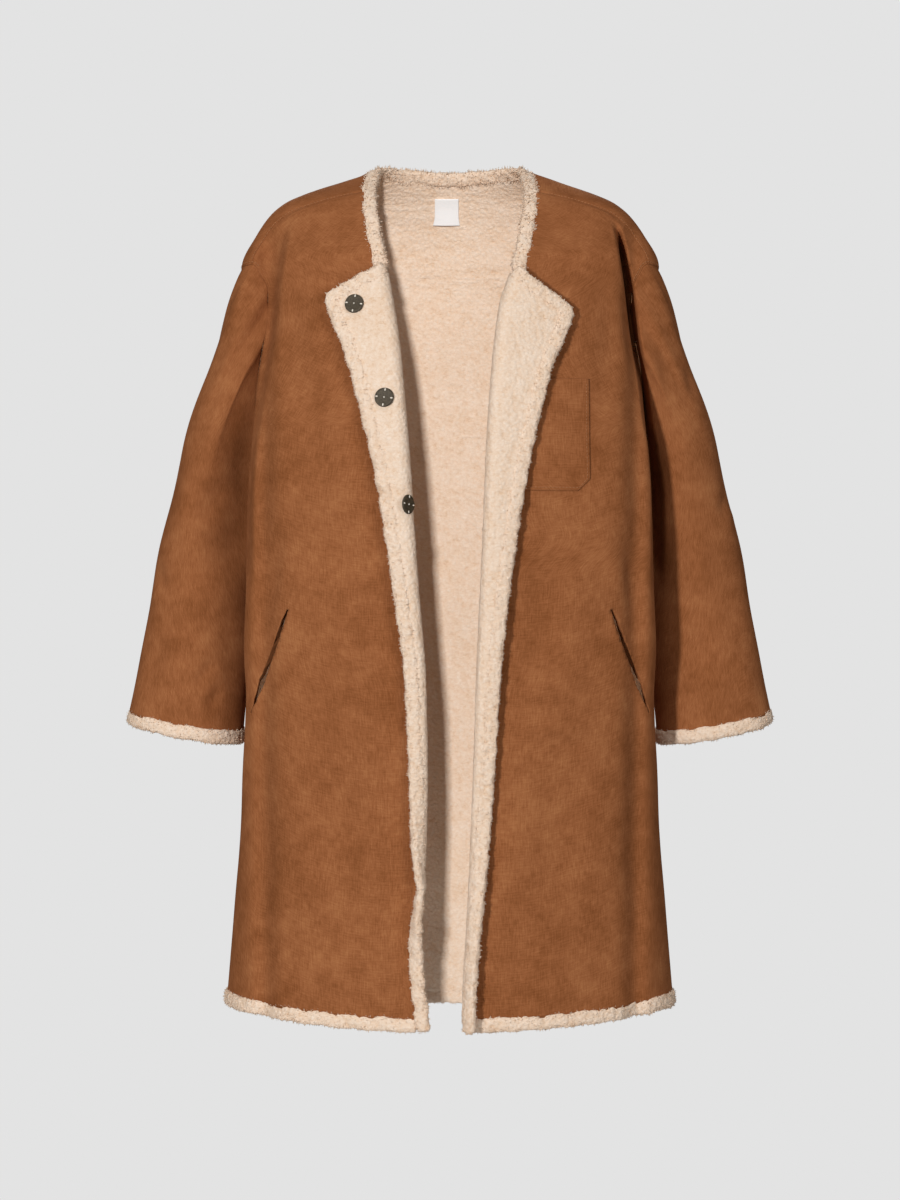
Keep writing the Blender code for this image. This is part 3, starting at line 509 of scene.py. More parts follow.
def laid(angle: np.ndarray, height: np.ndarray) -> tuple[np.ndarray, np.ndarray]:
    """Middle points of the cloth as it lies on the body, and the normals there."""
    points, normal = skin(angle, height)
    return points - normal * CLOTH / 2, normal


def angle_at(out: np.ndarray, height: np.ndarray) -> np.ndarray:
    """Angle in front at which the section lies a distance out from the centre."""
    wide = read(SECTIONS, "height", "half_front", height)
    return np.arcsin(np.clip(out / wide, 0.0, 0.999))


def back_angle_at(out: np.ndarray, height: np.ndarray) -> np.ndarray:
    """Angle behind at which the section lies a distance out, to +X above 0."""
    return np.pi - np.arcsin(out / read(SECTIONS, "height", "half_back", height))


def on_body(creases: tuple[Crease, ...], angle_of: Callable) -> list[tuple]:
    """Creases with their ends laid on the body.

    Args:
        creases: rows whose ends are pairs of out and height.
        angle_of: angle of the section for such a pair.

    Returns:
        Two ends in space, half width and depth of each.
    """
    made = []
    for crease in creases:
        out, height = np.array([crease.start, crease.end]).T
        start, end = body(angle_of(out, height), height)
        made.append((start, end, crease.half_width, crease.depth))
    return made


def seam_angles(heights: np.ndarray, face: str) -> np.ndarray:
    """Outer end of a panel's row: shoulder seam, then armhole, then side seam."""
    turn = np.degrees(np.arccos(np.clip((heights - ARMHOLE_MIDDLE) / ARMHOLE_HALF, -1, 1)))
    shoulder = read(SHOULDER_SEAM, "height", "angle", heights)
    arm = read(ARMHOLE, "turn", face + "_angle", turn)
    side = read(SIDE_SEAM, "height", "angle", heights)
    angle = np.where(heights >= ARMHOLE_TOP, shoulder, np.where(heights > ARMHOLE_BOTTOM, arm, side))
    return np.radians(angle)


def grid_normal(points: np.ndarray) -> np.ndarray:
    """Unit normals of a grid of points, from the differences along both ways."""
    return unit(np.cross(np.gradient(points, axis=0), np.gradient(points, axis=1)))


def fold_path(lapel: tuple, heights: np.ndarray, shares: np.ndarray) -> tuple:
    """Middle line of the cloth past the start of a fold, at each height.

    The heading starts along the front, towards the centre, turns evenly round
    the roll radius until it has gone half a turn, and leans on by the angle
    that brings the edge down to its clearance. Its turn is scaled by how fully
    that height is turned over. The line is the sum of its small steps.

    Args:
        lapel: table of the lapel.
        heights: heights of the rows.
        shares: shares of the way from the fold's start to the cloth's edge.

    Returns:
        How far it has gone towards the centre, how far it stands off, and the
        furthest that each row reaches towards the centre.
    """
    steps = 160
    reach = read(lapel, "height", "reach", heights) - TRIM_WIDTH
    turn = read(lapel, "height", "turn", heights)
    radius = read(lapel, "height", "radius", heights)
    arc = np.pi * radius
    flat = np.maximum(reach - arc, 0.001)
    fall = 2 * radius - CLOTH - LAPEL_EDGE_CLEAR
    lean = np.arcsin(np.clip(fall / (flat + TRIM_WIDTH), 0.0, 0.20))
    along = (np.arange(steps) + 0.5) / steps * reach[:, None]
    heading = np.clip(along / radius[:, None], 0, np.pi)
    heading = heading + lean[:, None] * ease(0.0, 0.012, along - arc[:, None])
    heading = heading * turn[:, None]
    small = reach[:, None] / steps
    start = np.zeros((len(reach), 1))
    towards = np.concatenate([start, np.cumsum(np.cos(heading) * small, 1)], 1)
    off = np.concatenate([start, np.cumsum(np.sin(heading) * small, 1)], 1)
    at = np.asarray(shares) * steps
    low = np.clip(at.astype(int), 0, steps - 1)
    part = at - low
    widest = np.maximum(towards.max(axis=1), towards[:, -1] + TRIM_WIDTH * np.cos(heading[:, -1]))
    near = towards[:, low] * (1 - part) + towards[:, low + 1] * part
    stand = off[:, low] * (1 - part) + off[:, low + 1] * part
    return near, stand, widest


def fold_start(lapel: tuple, heights: np.ndarray) -> np.ndarray:
    """How far out from the centre the fold starts, so that it ends at the roll line."""
    widest = fold_path(lapel, heights, np.zeros(1))[2]
    turned = read(lapel, "height", "turn", heights)
    return read(lapel, "height", "roll_out", heights) + widest + CLOTH / 2 * ease(0.2, 0.8, turned)


def lapel_grid(lapel: tuple, heights: np.ndarray, shares: np.ndarray) -> np.ndarray:
    """Middle points of the cloth past the fold's start, for a front at +X.

    Each point stands off the front's own surface, below its row by as much of
    the row's drop as it is past the middle of the fold.
    """
    towards, off, _ = fold_path(lapel, heights, shares)
    reach = read(lapel, "height", "reach", heights)[:, None]
    drop = read(lapel, "height", "drop", heights)[:, None]
    turned = 0.4 * np.pi * ROLL_RADIUS
    level = heights[:, None] - drop * np.clip((shares * reach - turned) / (reach - turned), 0, None)
    out = np.maximum(fold_start(lapel, heights)[:, None] - towards, 0.002)
    points, normal = skin(angle_at(out, level), level)
    return points + normal * (off - CLOTH / 2)[..., None]


def armhole_curve(turns: np.ndarray) -> tuple[np.ndarray, np.ndarray]:
    """Closed line of the armhole on the body at +X: top, front, underarm, back.

    Args:
        turns: places round it in degrees, 0 to 360.

    Returns:
        Its points and the body's normals there.
    """
    down = np.where(turns > 180, 360 - turns, turns)
    heights = ARMHOLE_MIDDLE + ARMHOLE_HALF * np.cos(np.radians(down))
    front = read(ARMHOLE, "turn", "front_angle", down)
    back = read(ARMHOLE, "turn", "back_angle", down)
    angle = np.radians(np.where(turns > 180, back, front))
    return skin(angle, heights)


def tuck(points: np.ndarray, hand: Hand, loose: np.ndarray | float = 0.0) -> np.ndarray:
    """Steps back into the fold between a front and its sleeve.

    The step is deepest on the fold's line, steep on the front's side and longer
    on the sleeve's. It grows below the shoulder and dies out behind the side,
    and is the same on both pieces, so their seam stays closed.

    Args:
        points: places on the smooth cloth at +X.
        hand: side of the coat that they are for.
        loose: 1 where the cloth hangs clear of the front, behind the line too.

    Returns:
        One step for each point.
    """
    fold = ARM_FOLDS[hand]
    height = points[..., 2]
    line = {name: read(ARM_FOLD_LINE, "height", name, height) for name in FoldLine._fields[1:]}
    past = points[..., 0] - line["out"]
    before = ease(-fold.front_side, 0.0, past)
    wide = fold.sleeve_side * line["spread"]
    beyond = 1 - ease(0.0, 1.0, (past / wide - 1 + fold.wall) / fold.wall)
    near = (before + (1 - before) * loose * fold.loose) * beyond
    grown = ease(*ARM_FOLD_TOP, height) * ease(*ARM_FOLD_END, height)
    ahead = ease(line["behind"], line["behind"] - line["fading"], points[..., 1])
    lower = ease(*ARM_FOLD_NARROWS, height)
    depth = fold.depth + (fold.foot_depth - fold.depth) * (1 - lower)
    back = depth * near * grown * ahead
    return back[..., None] * np.array([0.0, 1.0, 0.0])


class PileSize(Enum):
    """Sizes of the pile's curls, in metres."""

    LARGE = 0.0056
    SMALL = 0.0040


CURL_HEIGHTS = {PileSize.LARGE: 0.0008, PileSize.SMALL: 0.0005}
CURL_MEAN = 0.45


def curl_height(points: np.ndarray, size: PileSize) -> np.ndarray:
    """Height of a curly pile, 1 on top of a curl and 0 between curls.

    Space is cut into cubes with one curl's middle at a scattered place in each;
    the height falls with the square of the distance to the nearest middle.

    Args:
        points: places in space, one row each.
        size: size of the curls.

    Returns:
        One height for each point.
    """
    flat = points.reshape(-1, 3) / size.value
    base = np.floor(flat).astype(np.int64)
    nearest = np.full(len(flat), 9.0)
    for number in range(27):
        corner = base + np.array([number % 3 - 1, number // 3 % 3 - 1, number // 9 - 1])
        mixed = corner[:, 0] * 73856093 ^ corner[:, 1] * 19349663 ^ corner[:, 2] * 83492791
        scatter = np.stack([(mixed * k & 0xFFFF) / 65535.0 for k in (40503, 30011, 52361)], axis=-1)
        nearest = np.minimum(nearest, np.sum((corner + scatter - flat) ** 2, axis=-1))
    return np.clip(1.0 - 1.25 * nearest, 0.0, 1.0).reshape(points.shape[:-1])


def pile(points: np.ndarray) -> np.ndarray:
    """Height of the pile in metres about its mean, from large and small curls."""
    return sum(high * (curl_height(points, size) - CURL_MEAN) for size, high in CURL_HEIGHTS.items())


class Wave(NamedTuple):
    """A slow wave of the cloth: its height, heading in radians a metre and phase."""

    height: float
    heading: tuple[float, float, float]
    phase: float


WAVES = (
    Wave(0.0007, (23.0, 0.0, 41.0), 0.0),
    Wave(0.0006, (67.0, 0.0, -19.0), 1.3),
    Wave(0.0004, (0.0, 71.0, 59.0), 0.4),
)


def relief(points: np.ndarray, creases: list[tuple[np.ndarray, np.ndarray, float, float]],
           free: np.ndarray | float = 1.0) -> np.ndarray:
    """How far creases and the cloth's slow waves lift the suede, in metres.

    A crease is a bell curve of the distance to its line, faded at both ends;
    the slow waves are three sines of different headings.

    Args:
        points: places on the surface.
        creases: ends in space, half width and depth of each.
        free: how freely the cloth creases there, 0 at a seam.

    Returns:
        One offset along the normal for each point.
    """
    waves = sum(wave.height * np.sin(points @ np.array(wave.heading) + wave.phase) for wave in WAVES)
    folds = np.zeros(points.shape[:-1])
    for start, end, half, depth in creases:
        line = end - start
        share = np.clip(np.sum((points - start) * line, axis=-1) / np.sum(line * line), 0, 1)
        away = np.linalg.norm(points - (start + share[..., None] * line), axis=-1)
        fade = ease(-0.02, 0.35, share) * ease(1.02, 0.65, share)
        folds = folds + depth * fade * np.exp(-(away / half) ** 2)
    return (waves + folds) * free


def linear(colour: str) -> tuple[float, float, float, float]:
    """An sRGB hex colour as a linear one with full alpha."""
    parts = [int(colour[i:i + 2], 16) / 255 for i in (1, 3, 5)]
    return (*[p / 12.92 if p <= 0.04045 else ((p + 0.055) / 1.055) ** 2.4 for p in parts], 1.0)


class Finish:
    """A Principled material whose nodes are added one at a time."""

    def __init__(self, name: str) -> None:
        """Makes the empty material.

        Args:
            name: name of the material, for what the real one is.
        """
        self.material = bpy.data.materials.new(name)
        self.material.use_nodes = True
        self.tree = self.material.node_tree
        self.shader = self.tree.nodes["Principled BSDF"]

    def add(self, kind: str, inputs: dict | None = None, **settings) -> bpy.types.Node:
        """Adds a node.

        Args:
            kind: Blender's name of the node.
            inputs: values or sockets for its inputs, by name or number.
            settings: its other settings.

        Returns:
            The new node.
        """
        node = self.tree.nodes.new(kind)
        for name, value in settings.items():
            setattr(node, name, value)
        self.feed(node, inputs or {})
        return node

    def feed(self, node: bpy.types.Node, inputs: dict) -> None:
        """Sets or links inputs of a node.

        Args:
            node: the node.
            inputs: values or sockets, by input name or number.
        """
        for name, value in inputs.items():
            if isinstance(value, bpy.types.NodeSocket):
                self.tree.links.new(value, node.inputs[name])
            else:
                node.inputs[name].default_value = value

    def ramp(self, factor: bpy.types.NodeSocket,
             stops: tuple[tuple[float, str], ...]) -> bpy.types.NodeSocket:
        """Colours along a factor.

        Args:
            factor: the socket that drives it.
            stops: place and hex colour of each stop.

        Returns:
            The colour socket.
        """
        node = self.add("ShaderNodeValToRGB", {"Fac": factor})
        colours = node.color_ramp.elements
        while len(colours) < len(stops):
            colours.new(0.5)
        for element, (place, colour) in zip(colours, stops):
            element.position = place
            element.color = linear(colour)
        return node.outputs["Color"]

    def weigh(self, parts: tuple[tuple[bpy.types.NodeSocket, float], ...]) -> bpy.types.NodeSocket:
        """Sum of sockets, each times its weight.

        Args:
            parts: sockets and weights.

        Returns:
            The sum's socket.
        """
        total = None
        for socket, weight in parts:
            inputs = {0: socket, 1: weight, 2: 0.0 if total is None else total}
            total = self.add("ShaderNodeMath", inputs, operation="MULTIPLY_ADD").outputs[0]
        return total


@dataclass(frozen=True)
class BrushedSuede:
    """Microfibre suede with a short brushed nap: matt, mottled, light at grazing angles."""

    name: str = "brushed_suede"
    crushed: str = "#7a4624"
    low: str = "#8b5430"
    middle: str = "#975d38"
    raised: str = "#a76d44"
    patch: float = 0.085
    mottle: float = 0.024
    thread: float = 0.0016     # drawn coarser than the real 0.5 mm so that it shows
    thread_run: float = 0.013

    def make(self) -> bpy.types.Material:
        """Builds the material: slow patches, mottled nap, then the base cloth's threads."""
        finish = Finish(self.name)
        coords = finish.add("ShaderNodeTexCoord")
        place, chart = coords.outputs["Object"], coords.outputs["UV"]
        patches = finish.add("ShaderNodeTexNoise", {"Vector": place, "Scale": 1 / self.patch, "Detail": 2.0})
        mottling = finish.add(
            "ShaderNodeTexNoise",
            {"Vector": place, "Scale": 1 / self.mottle, "Detail": 4.0, "Roughness": 0.62},
        )
        threads = []
        for scale in ((1 / self.thread, 1 / self.thread_run, 1), (1 / self.thread_run, 1 / self.thread, 1)):
            turned = finish.add("ShaderNodeMapping", {"Vector": chart, "Scale": scale})
            threads.append(
                finish.add("ShaderNodeTexNoise", {"Vector": turned.outputs[0], "Scale": 1.0, "Detail": 1.5})
            )
        nap = finish.add("ShaderNodeTexNoise", {"Vector": place, "Scale": 900.0, "Detail": 2.0})
        value = finish.weigh((
            (patches.outputs["Fac"], 0.34),
            (mottling.outputs["Fac"], 0.46),
            (threads[0].outputs["Fac"], 0.36),
            (threads[1].outputs["Fac"], 0.28),
            (nap.outputs["Fac"], 0.18),
        ))
        colour = finish.ramp(
            value, ((0.58, self.crushed), (0.74, self.low), (0.84, self.middle), (1.0, self.raised))
        )
        height = finish.weigh((
            (threads[0].outputs["Fac"], 0.5),
            (threads[1].outputs["Fac"], 0.4),
            (nap.outputs["Fac"], 0.5),
        ))
        bump = finish.add("ShaderNodeBump", {"Height": height, "Strength": 0.35, "Distance": 0.0006})
        finish.feed(finish.shader, {
            "Base Color": colour,
            "Roughness": 0.92,
            "Specular IOR Level": 0.1,
            "Sheen Weight": 0.08,
            "Sheen Roughness": 0.45,
            "Sheen Tint": linear("#e0a070"),
            "Normal": bump.outputs["Normal"],
        })
        return finish.material


@dataclass(frozen=True)
class CurlyPile:
    """Knitted sherpa pile: short woolly curls, with painted shade that darkens the colour between the curls,
    so their tips look lighter.
    """

    name: str = "curly_sherpa_pile"
    # deep is the colour of painted shade between the curls, mixed with the fibres' random tone; tip is the
    # colour on the curls' tops.
    deep: str = "#d5ac86"
    body: str = "#ebceb3"
    tip: str = "#f6e2cf"
    curl: float = 0.0042
    fibre: float = 0.0017
    fibre_run: float = 0.0034
    patch: float = 0.030

    def make(self) -> bpy.types.Material:
        """Builds the material: the mesh's own curls and smaller ones, which also paint shade between them
        into the colour, then fibres.
        """
        finish = Finish(self.name)
        place = finish.add("ShaderNodeTexCoord").outputs["Object"]
        grown = finish.add("ShaderNodeAttribute", attribute_name="curl").outputs["Fac"]
        patches = finish.add("ShaderNodeTexNoise", {"Vector": place, "Scale": 1 / self.patch, "Detail": 2.0})
        across = (1 / self.fibre_run, 1 / self.fibre, 1 / self.fibre)
        laid = finish.add("ShaderNodeMapping", {"Vector": place, "Scale": across})
        fibres = finish.add(
            "ShaderNodeTexNoise",
            {"Vector": laid.outputs[0], "Scale": 1.0, "Detail": 3.0, "Roughness": 0.6, "Distortion": 1.1},
        )
        curls = finish.add("ShaderNodeTexVoronoi", {"Vector": place, "Scale": 1 / self.curl}, feature="F1")
        # Painted shade: grown, the curl height that the mesh carries, and the distance to the nearest small
        # curl darken the colour between curls; fibres and patches are random tone.
        value = finish.weigh((
            (grown, 0.16),
            (fibres.outputs["Fac"], 0.60),
            (curls.outputs["Distance"], -0.16),
            (patches.outputs["Fac"], 0.22),
        ))
        colour = finish.ramp(value, ((0.12, self.deep), (0.34, self.body), (0.60, self.tip)))
        height = finish.weigh(((fibres.outputs["Fac"], 0.6), (curls.outputs["Distance"], -0.7)))
        bump = finish.add("ShaderNodeBump", {"Height": height, "Strength": 0.75, "Distance": 0.0018})
        finish.feed(finish.shader, {
            "Base Color": colour,
            "Roughness": 0.95,
            "Specular IOR Level": 0.15,
            "Sheen Weight": 0.08,
            "Sheen Roughness": 0.5,
            "Sheen Tint": linear("#fff0e0"),
            "Normal": bump.outputs["Normal"],
        })
        return finish.material


@dataclass(frozen=True)
class DarkBronze:
    """Antiqued brass cap, stamped and tumbled: dark in the hollows, worn on the rims."""

    name: str = "antiqued_brass"
    dark: str = "#3a3226"
    worn: str = "#5c5140"
    grain: float = 0.0012

    def make(self) -> bpy.types.Material:
        """Builds the material: blotched patina over a metal."""
        finish = Finish(self.name)
        place = finish.add("ShaderNodeTexCoord").outputs["Object"]
        patina = finish.add("ShaderNodeTexNoise", {"Vector": place, "Scale": 1 / self.grain, "Detail": 3.0})
        colour = finish.ramp(patina.outputs["Fac"], ((0.35, self.dark), (0.75, self.worn)))
        bump = finish.add(
            "ShaderNodeBump", {"Height": patina.outputs["Fac"], "Strength": 0.15, "Distance": 0.0002}
        )
        finish.feed(finish.shader, {
            "Base Color": colour,
            "Metallic": 0.1,
            "Roughness": 0.55,
            "Specular IOR Level": 0.3,
            "Normal": bump.outputs["Normal"],
        })
        return finish.material


@dataclass(frozen=True)
class SpunThread:
    """Spun polyester sewing thread, matt with a slight twist."""

    name: str
    colour: str
    shade: str
    twist: float = 0.0009

    def make(self) -> bpy.types.Material:
        """Builds the material: two close tones along the twist."""
        finish = Finish(self.name)
        place = finish.add("ShaderNodeTexCoord").outputs["Object"]
        plies = finish.add("ShaderNodeTexNoise", {"Vector": place, "Scale": 1 / self.twist, "Detail": 1.0})
        colour = finish.ramp(plies.outputs["Fac"], ((0.3, self.shade), (0.7, self.colour)))
        finish.feed(finish.shader, {"Base Color": colour, "Roughness": 0.7})
        return finish.material


@dataclass(frozen=True)
class SatinTape:
    """Woven satin label tape: white, smooth, with fine cross ribs."""

    name: str = "woven_satin_tape"
    colour: str = "#ffffff"
    shade: str = "#f8f7f6"
    rib: float = 0.0011        # drawn coarser than the real 0.3 mm so that it shows

    def make(self) -> bpy.types.Material:
        """Builds the material: ribs across the tape."""
        finish = Finish(self.name)
        chart = finish.add("ShaderNodeTexCoord").outputs["UV"]
        ribs = finish.add(
            "ShaderNodeTexWave",
            {"Vector": chart, "Scale": 1 / self.rib / 3.2, "Distortion": 0.6},
            bands_direction="Y",
        )
        colour = finish.ramp(ribs.outputs["Fac"], ((0.2, self.shade), (0.8, self.colour)))
        bump = finish.add(
            "ShaderNodeBump", {"Height": ribs.outputs["Fac"], "Strength": 0.2, "Distance": 0.0002}
        )
        finish.feed(finish.shader, {
            "Base Color": colour,
            "Roughness": 0.5,
            "Sheen Weight": 0.2,
            "Normal": bump.outputs["Normal"],
        })
        return finish.material


@dataclass
class Wardrobe:
    """The finishes, made once and shared by all pieces."""

    suede: bpy.types.Material = field(default_factory=lambda: BrushedSuede().make())
    sherpa: bpy.types.Material = field(default_factory=lambda: CurlyPile().make())
    bronze: bpy.types.Material = field(default_factory=lambda: DarkBronze().make())
    tape: bpy.types.Material = field(default_factory=lambda: SatinTape().make())
    brown_thread: bpy.types.Material = field(
        default_factory=lambda: SpunThread("brown_spun_thread", "#b67c50", "#8f5a33").make()
    )
    white_thread: bpy.types.Material = field(
        default_factory=lambda: SpunThread("white_spun_thread", "#f7f1e6", "#d9cdbb").make()
    )

    @property
    def cloth(self) -> list[bpy.types.Material]:
        """Both sides of the bonded cloth, the suede first."""
        return [self.suede, self.sherpa]


@dataclass
class Surface:
    """Faces of a piece on their way to a mesh: points, faces and what they carry."""

    points: np.ndarray
    faces: np.ndarray
    slots: np.ndarray | None = None
    chart: np.ndarray | None = None
    curl: np.ndarray | None = None

    def add_to_scene(self, name: str, finishes: list[bpy.types.Material], slot: str,
                     replaced: tuple[str, ...] = ()) -> bpy.types.Object:
        """Makes the object, gives it its finishes and lets it ride with the coat.

        Args:
            name: name of the piece.
            finishes: its materials, in the order of the slots.
            slot: not used.
            replaced: solids that it stands for.

        Returns:
            The new object.
        """
        mesh = bpy.data.meshes.new(name)
        sides = self.faces.shape[1]
        mesh.vertices.add(len(self.points))
        mesh.vertices.foreach_set("co", np.ascontiguousarray(self.points, np.float32).ravel())
        mesh.loops.add(self.faces.size)
        mesh.loops.foreach_set("vertex_index", np.ascontiguousarray(self.faces, np.int32).ravel())
        mesh.polygons.add(len(self.faces))
        mesh.polygons.foreach_set("loop_start", np.arange(0, self.faces.size, sides, dtype=np.int32))
        if self.slots is not None:
            mesh.polygons.foreach_set("material_index", np.ascontiguousarray(self.slots, np.int32))
        mesh.update(calc_edges=True)
        if self.chart is not None:
            layer = mesh.uv_layers.new(name="cloth")
            layer.data.foreach_set("uv", self.chart[self.faces.ravel()].astype(np.float32).ravel())
        # The curl attribute drives the pile finish's painted shade between curls and at the locks' roots.
        if self.curl is not None:
            made = mesh.attributes.new("curl", "FLOAT", "POINT")
            made.data.foreach_set("value", self.curl.astype(np.float32))
        mesh.validate()
        mesh.shade_smooth()
        for finish in finishes:
            mesh.materials.append(finish)
        piece = linked(name, mesh)
        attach(piece, "root")
        if replaced:
            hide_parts(*replaced)
        LOG.info("%s: %d faces", name, len(self.faces))
        return piece


def linked(name: str, data: bpy.types.ID) -> bpy.types.Object:
    """A new object of the scene, made of the data."""
    made = bpy.data.objects.new(name, data)
    bpy.context.scene.collection.objects.link(made)
    return made


def grid_quads(rows: int, columns: int, closed: bool = False) -> np.ndarray:
    """Four-cornered faces of a grid of points, as rows by columns by 4."""
    index = np.arange(rows * columns).reshape(rows, columns)
    if closed:
        index = np.concatenate([index, index[:, :1]], axis=1)
    return np.stack([index[:-1, :-1], index[1:, :-1], index[1:, 1:], index[:-1, 1:]], axis=-1)


def wall(outer: np.ndarray, inner: np.ndarray, keep: np.ndarray | None = None, closed: bool = False,
         curl: np.ndarray | None = None, around: int = 0) -> Surface:
    """Closed wall between two layers over one grid, with a rim along every free edge.

    Args:
        outer: points of the suede side.
        inner: points of the pile side.
        keep: which faces of the grid are there.
        closed: whether the grid's last column joins its first.
        curl: height of the pile at each inner point, 0 to 1.
        around: material slot of the rim.

    Returns:
        The surface, with slot 0 outside and slot 1 inside, and a chart in metres.
    """
    rows, columns = outer.shape[:2]
    quads = grid_quads(rows, columns, closed)
    quads = quads[keep] if keep is not None else quads.reshape(-1, 4)
    flat = outer.reshape(-1, 3)
    first = quads[len(quads) // 2]
    facing = np.cross(flat[first[2]] - flat[first[0]], flat[first[3]] - flat[first[1]])
    if np.dot(facing, (outer - inner).reshape(-1, 3)[first[0]]) < 0:
        quads = quads[:, ::-1]
    count = rows * columns
    starts, ends = quads.reshape(-1), np.roll(quads, -1, axis=1).reshape(-1)
    free = ~np.isin(starts * count + ends, ends * count + starts)
    a, b = starts[free], ends[free]
    rim = np.stack([b, a, a + count, b + count], axis=1)
    faces = np.concatenate([quads, quads[:, ::-1] + count, rim])
    slots = np.concatenate([np.zeros(len(quads)), np.ones(len(quads)), np.full(len(rim), around)])
    across = np.linalg.norm(np.diff(outer, axis=1), axis=-1)
    along = np.linalg.norm(np.diff(outer, axis=0), axis=-1)
    u = np.concatenate([np.zeros((rows, 1)), np.cumsum(across, axis=1)], axis=1)
    v = np.concatenate([np.zeros((1, columns)), np.cumsum(along, axis=0)], axis=0)
    chart = np.stack([u, v], axis=-1).reshape(-1, 2)
    curls = np.zeros(count) if curl is None else curl.reshape(-1)
    points = np.concatenate([flat, inner.reshape(-1, 3)])
    used = np.unique(faces)
    number = np.zeros(len(points), int)
    number[used] = np.arange(len(used))
    return Surface(
        points[used],
        number[faces],
        slots,
        np.concatenate([chart, chart])[used],
        np.concatenate([np.zeros(count), curls])[used],
    )


def levels(top: float, bottom: float, spacing: float) -> np.ndarray:
    """Heights whose points on the shoulder's outline lie evenly spaced, both ends in."""
    fine = np.linspace(top, bottom, 600)
    outline = np.stack([read(SECTIONS, "height", "half_back", fine), fine], axis=-1)
    gone = travelled(outline)
    count = int(np.ceil(gone[-1] / spacing))
    return np.interp(np.linspace(0, gone[-1], count + 1), gone, fine)


@dataclass
class PanelRows:
    """Heights of the rows that fronts and back share."""

    spacing: float = 0.0040
    armhole_rows: int = 90

    def yoke(self) -> np.ndarray:
        """From the collar point to the armhole's top, with one row close to the first."""
        rows = levels(COLLAR_POINT, ARMHOLE_TOP, self.spacing)
        return np.concatenate([rows[:1], rows[:1] - 0.0006, rows[1:]])

    def armhole(self) -> np.ndarray:
        """Down the armhole, evenly by its turn."""
        turns = np.linspace(0, np.pi, self.armhole_rows + 1)[1:]
        return ARMHOLE_MIDDLE + ARMHOLE_HALF * np.cos(turns)

    def skirt(self) -> np.ndarray:
        """From the underarm to the hem."""
        count = int((ARMHOLE_BOTTOM - HEM_HEIGHT) / self.spacing)
        return np.linspace(ARMHOLE_BOTTOM, HEM_HEIGHT, count + 1)[1:]

    def neck(self) -> np.ndarray:
        """From the neck's top to the collar point, for the back alone."""
        return levels(NECK_TOP, COLLAR_POINT, self.spacing)[:-1]


def edged_shares(count: int) -> np.ndarray:
    """Even shares from 0 to 1 with two more close to 0, where a seam rounds the cloth."""
    even = np.linspace(0, 1, count + 1)
    return np.concatenate([even[:1], [0.005, 0.012], even[1:]])


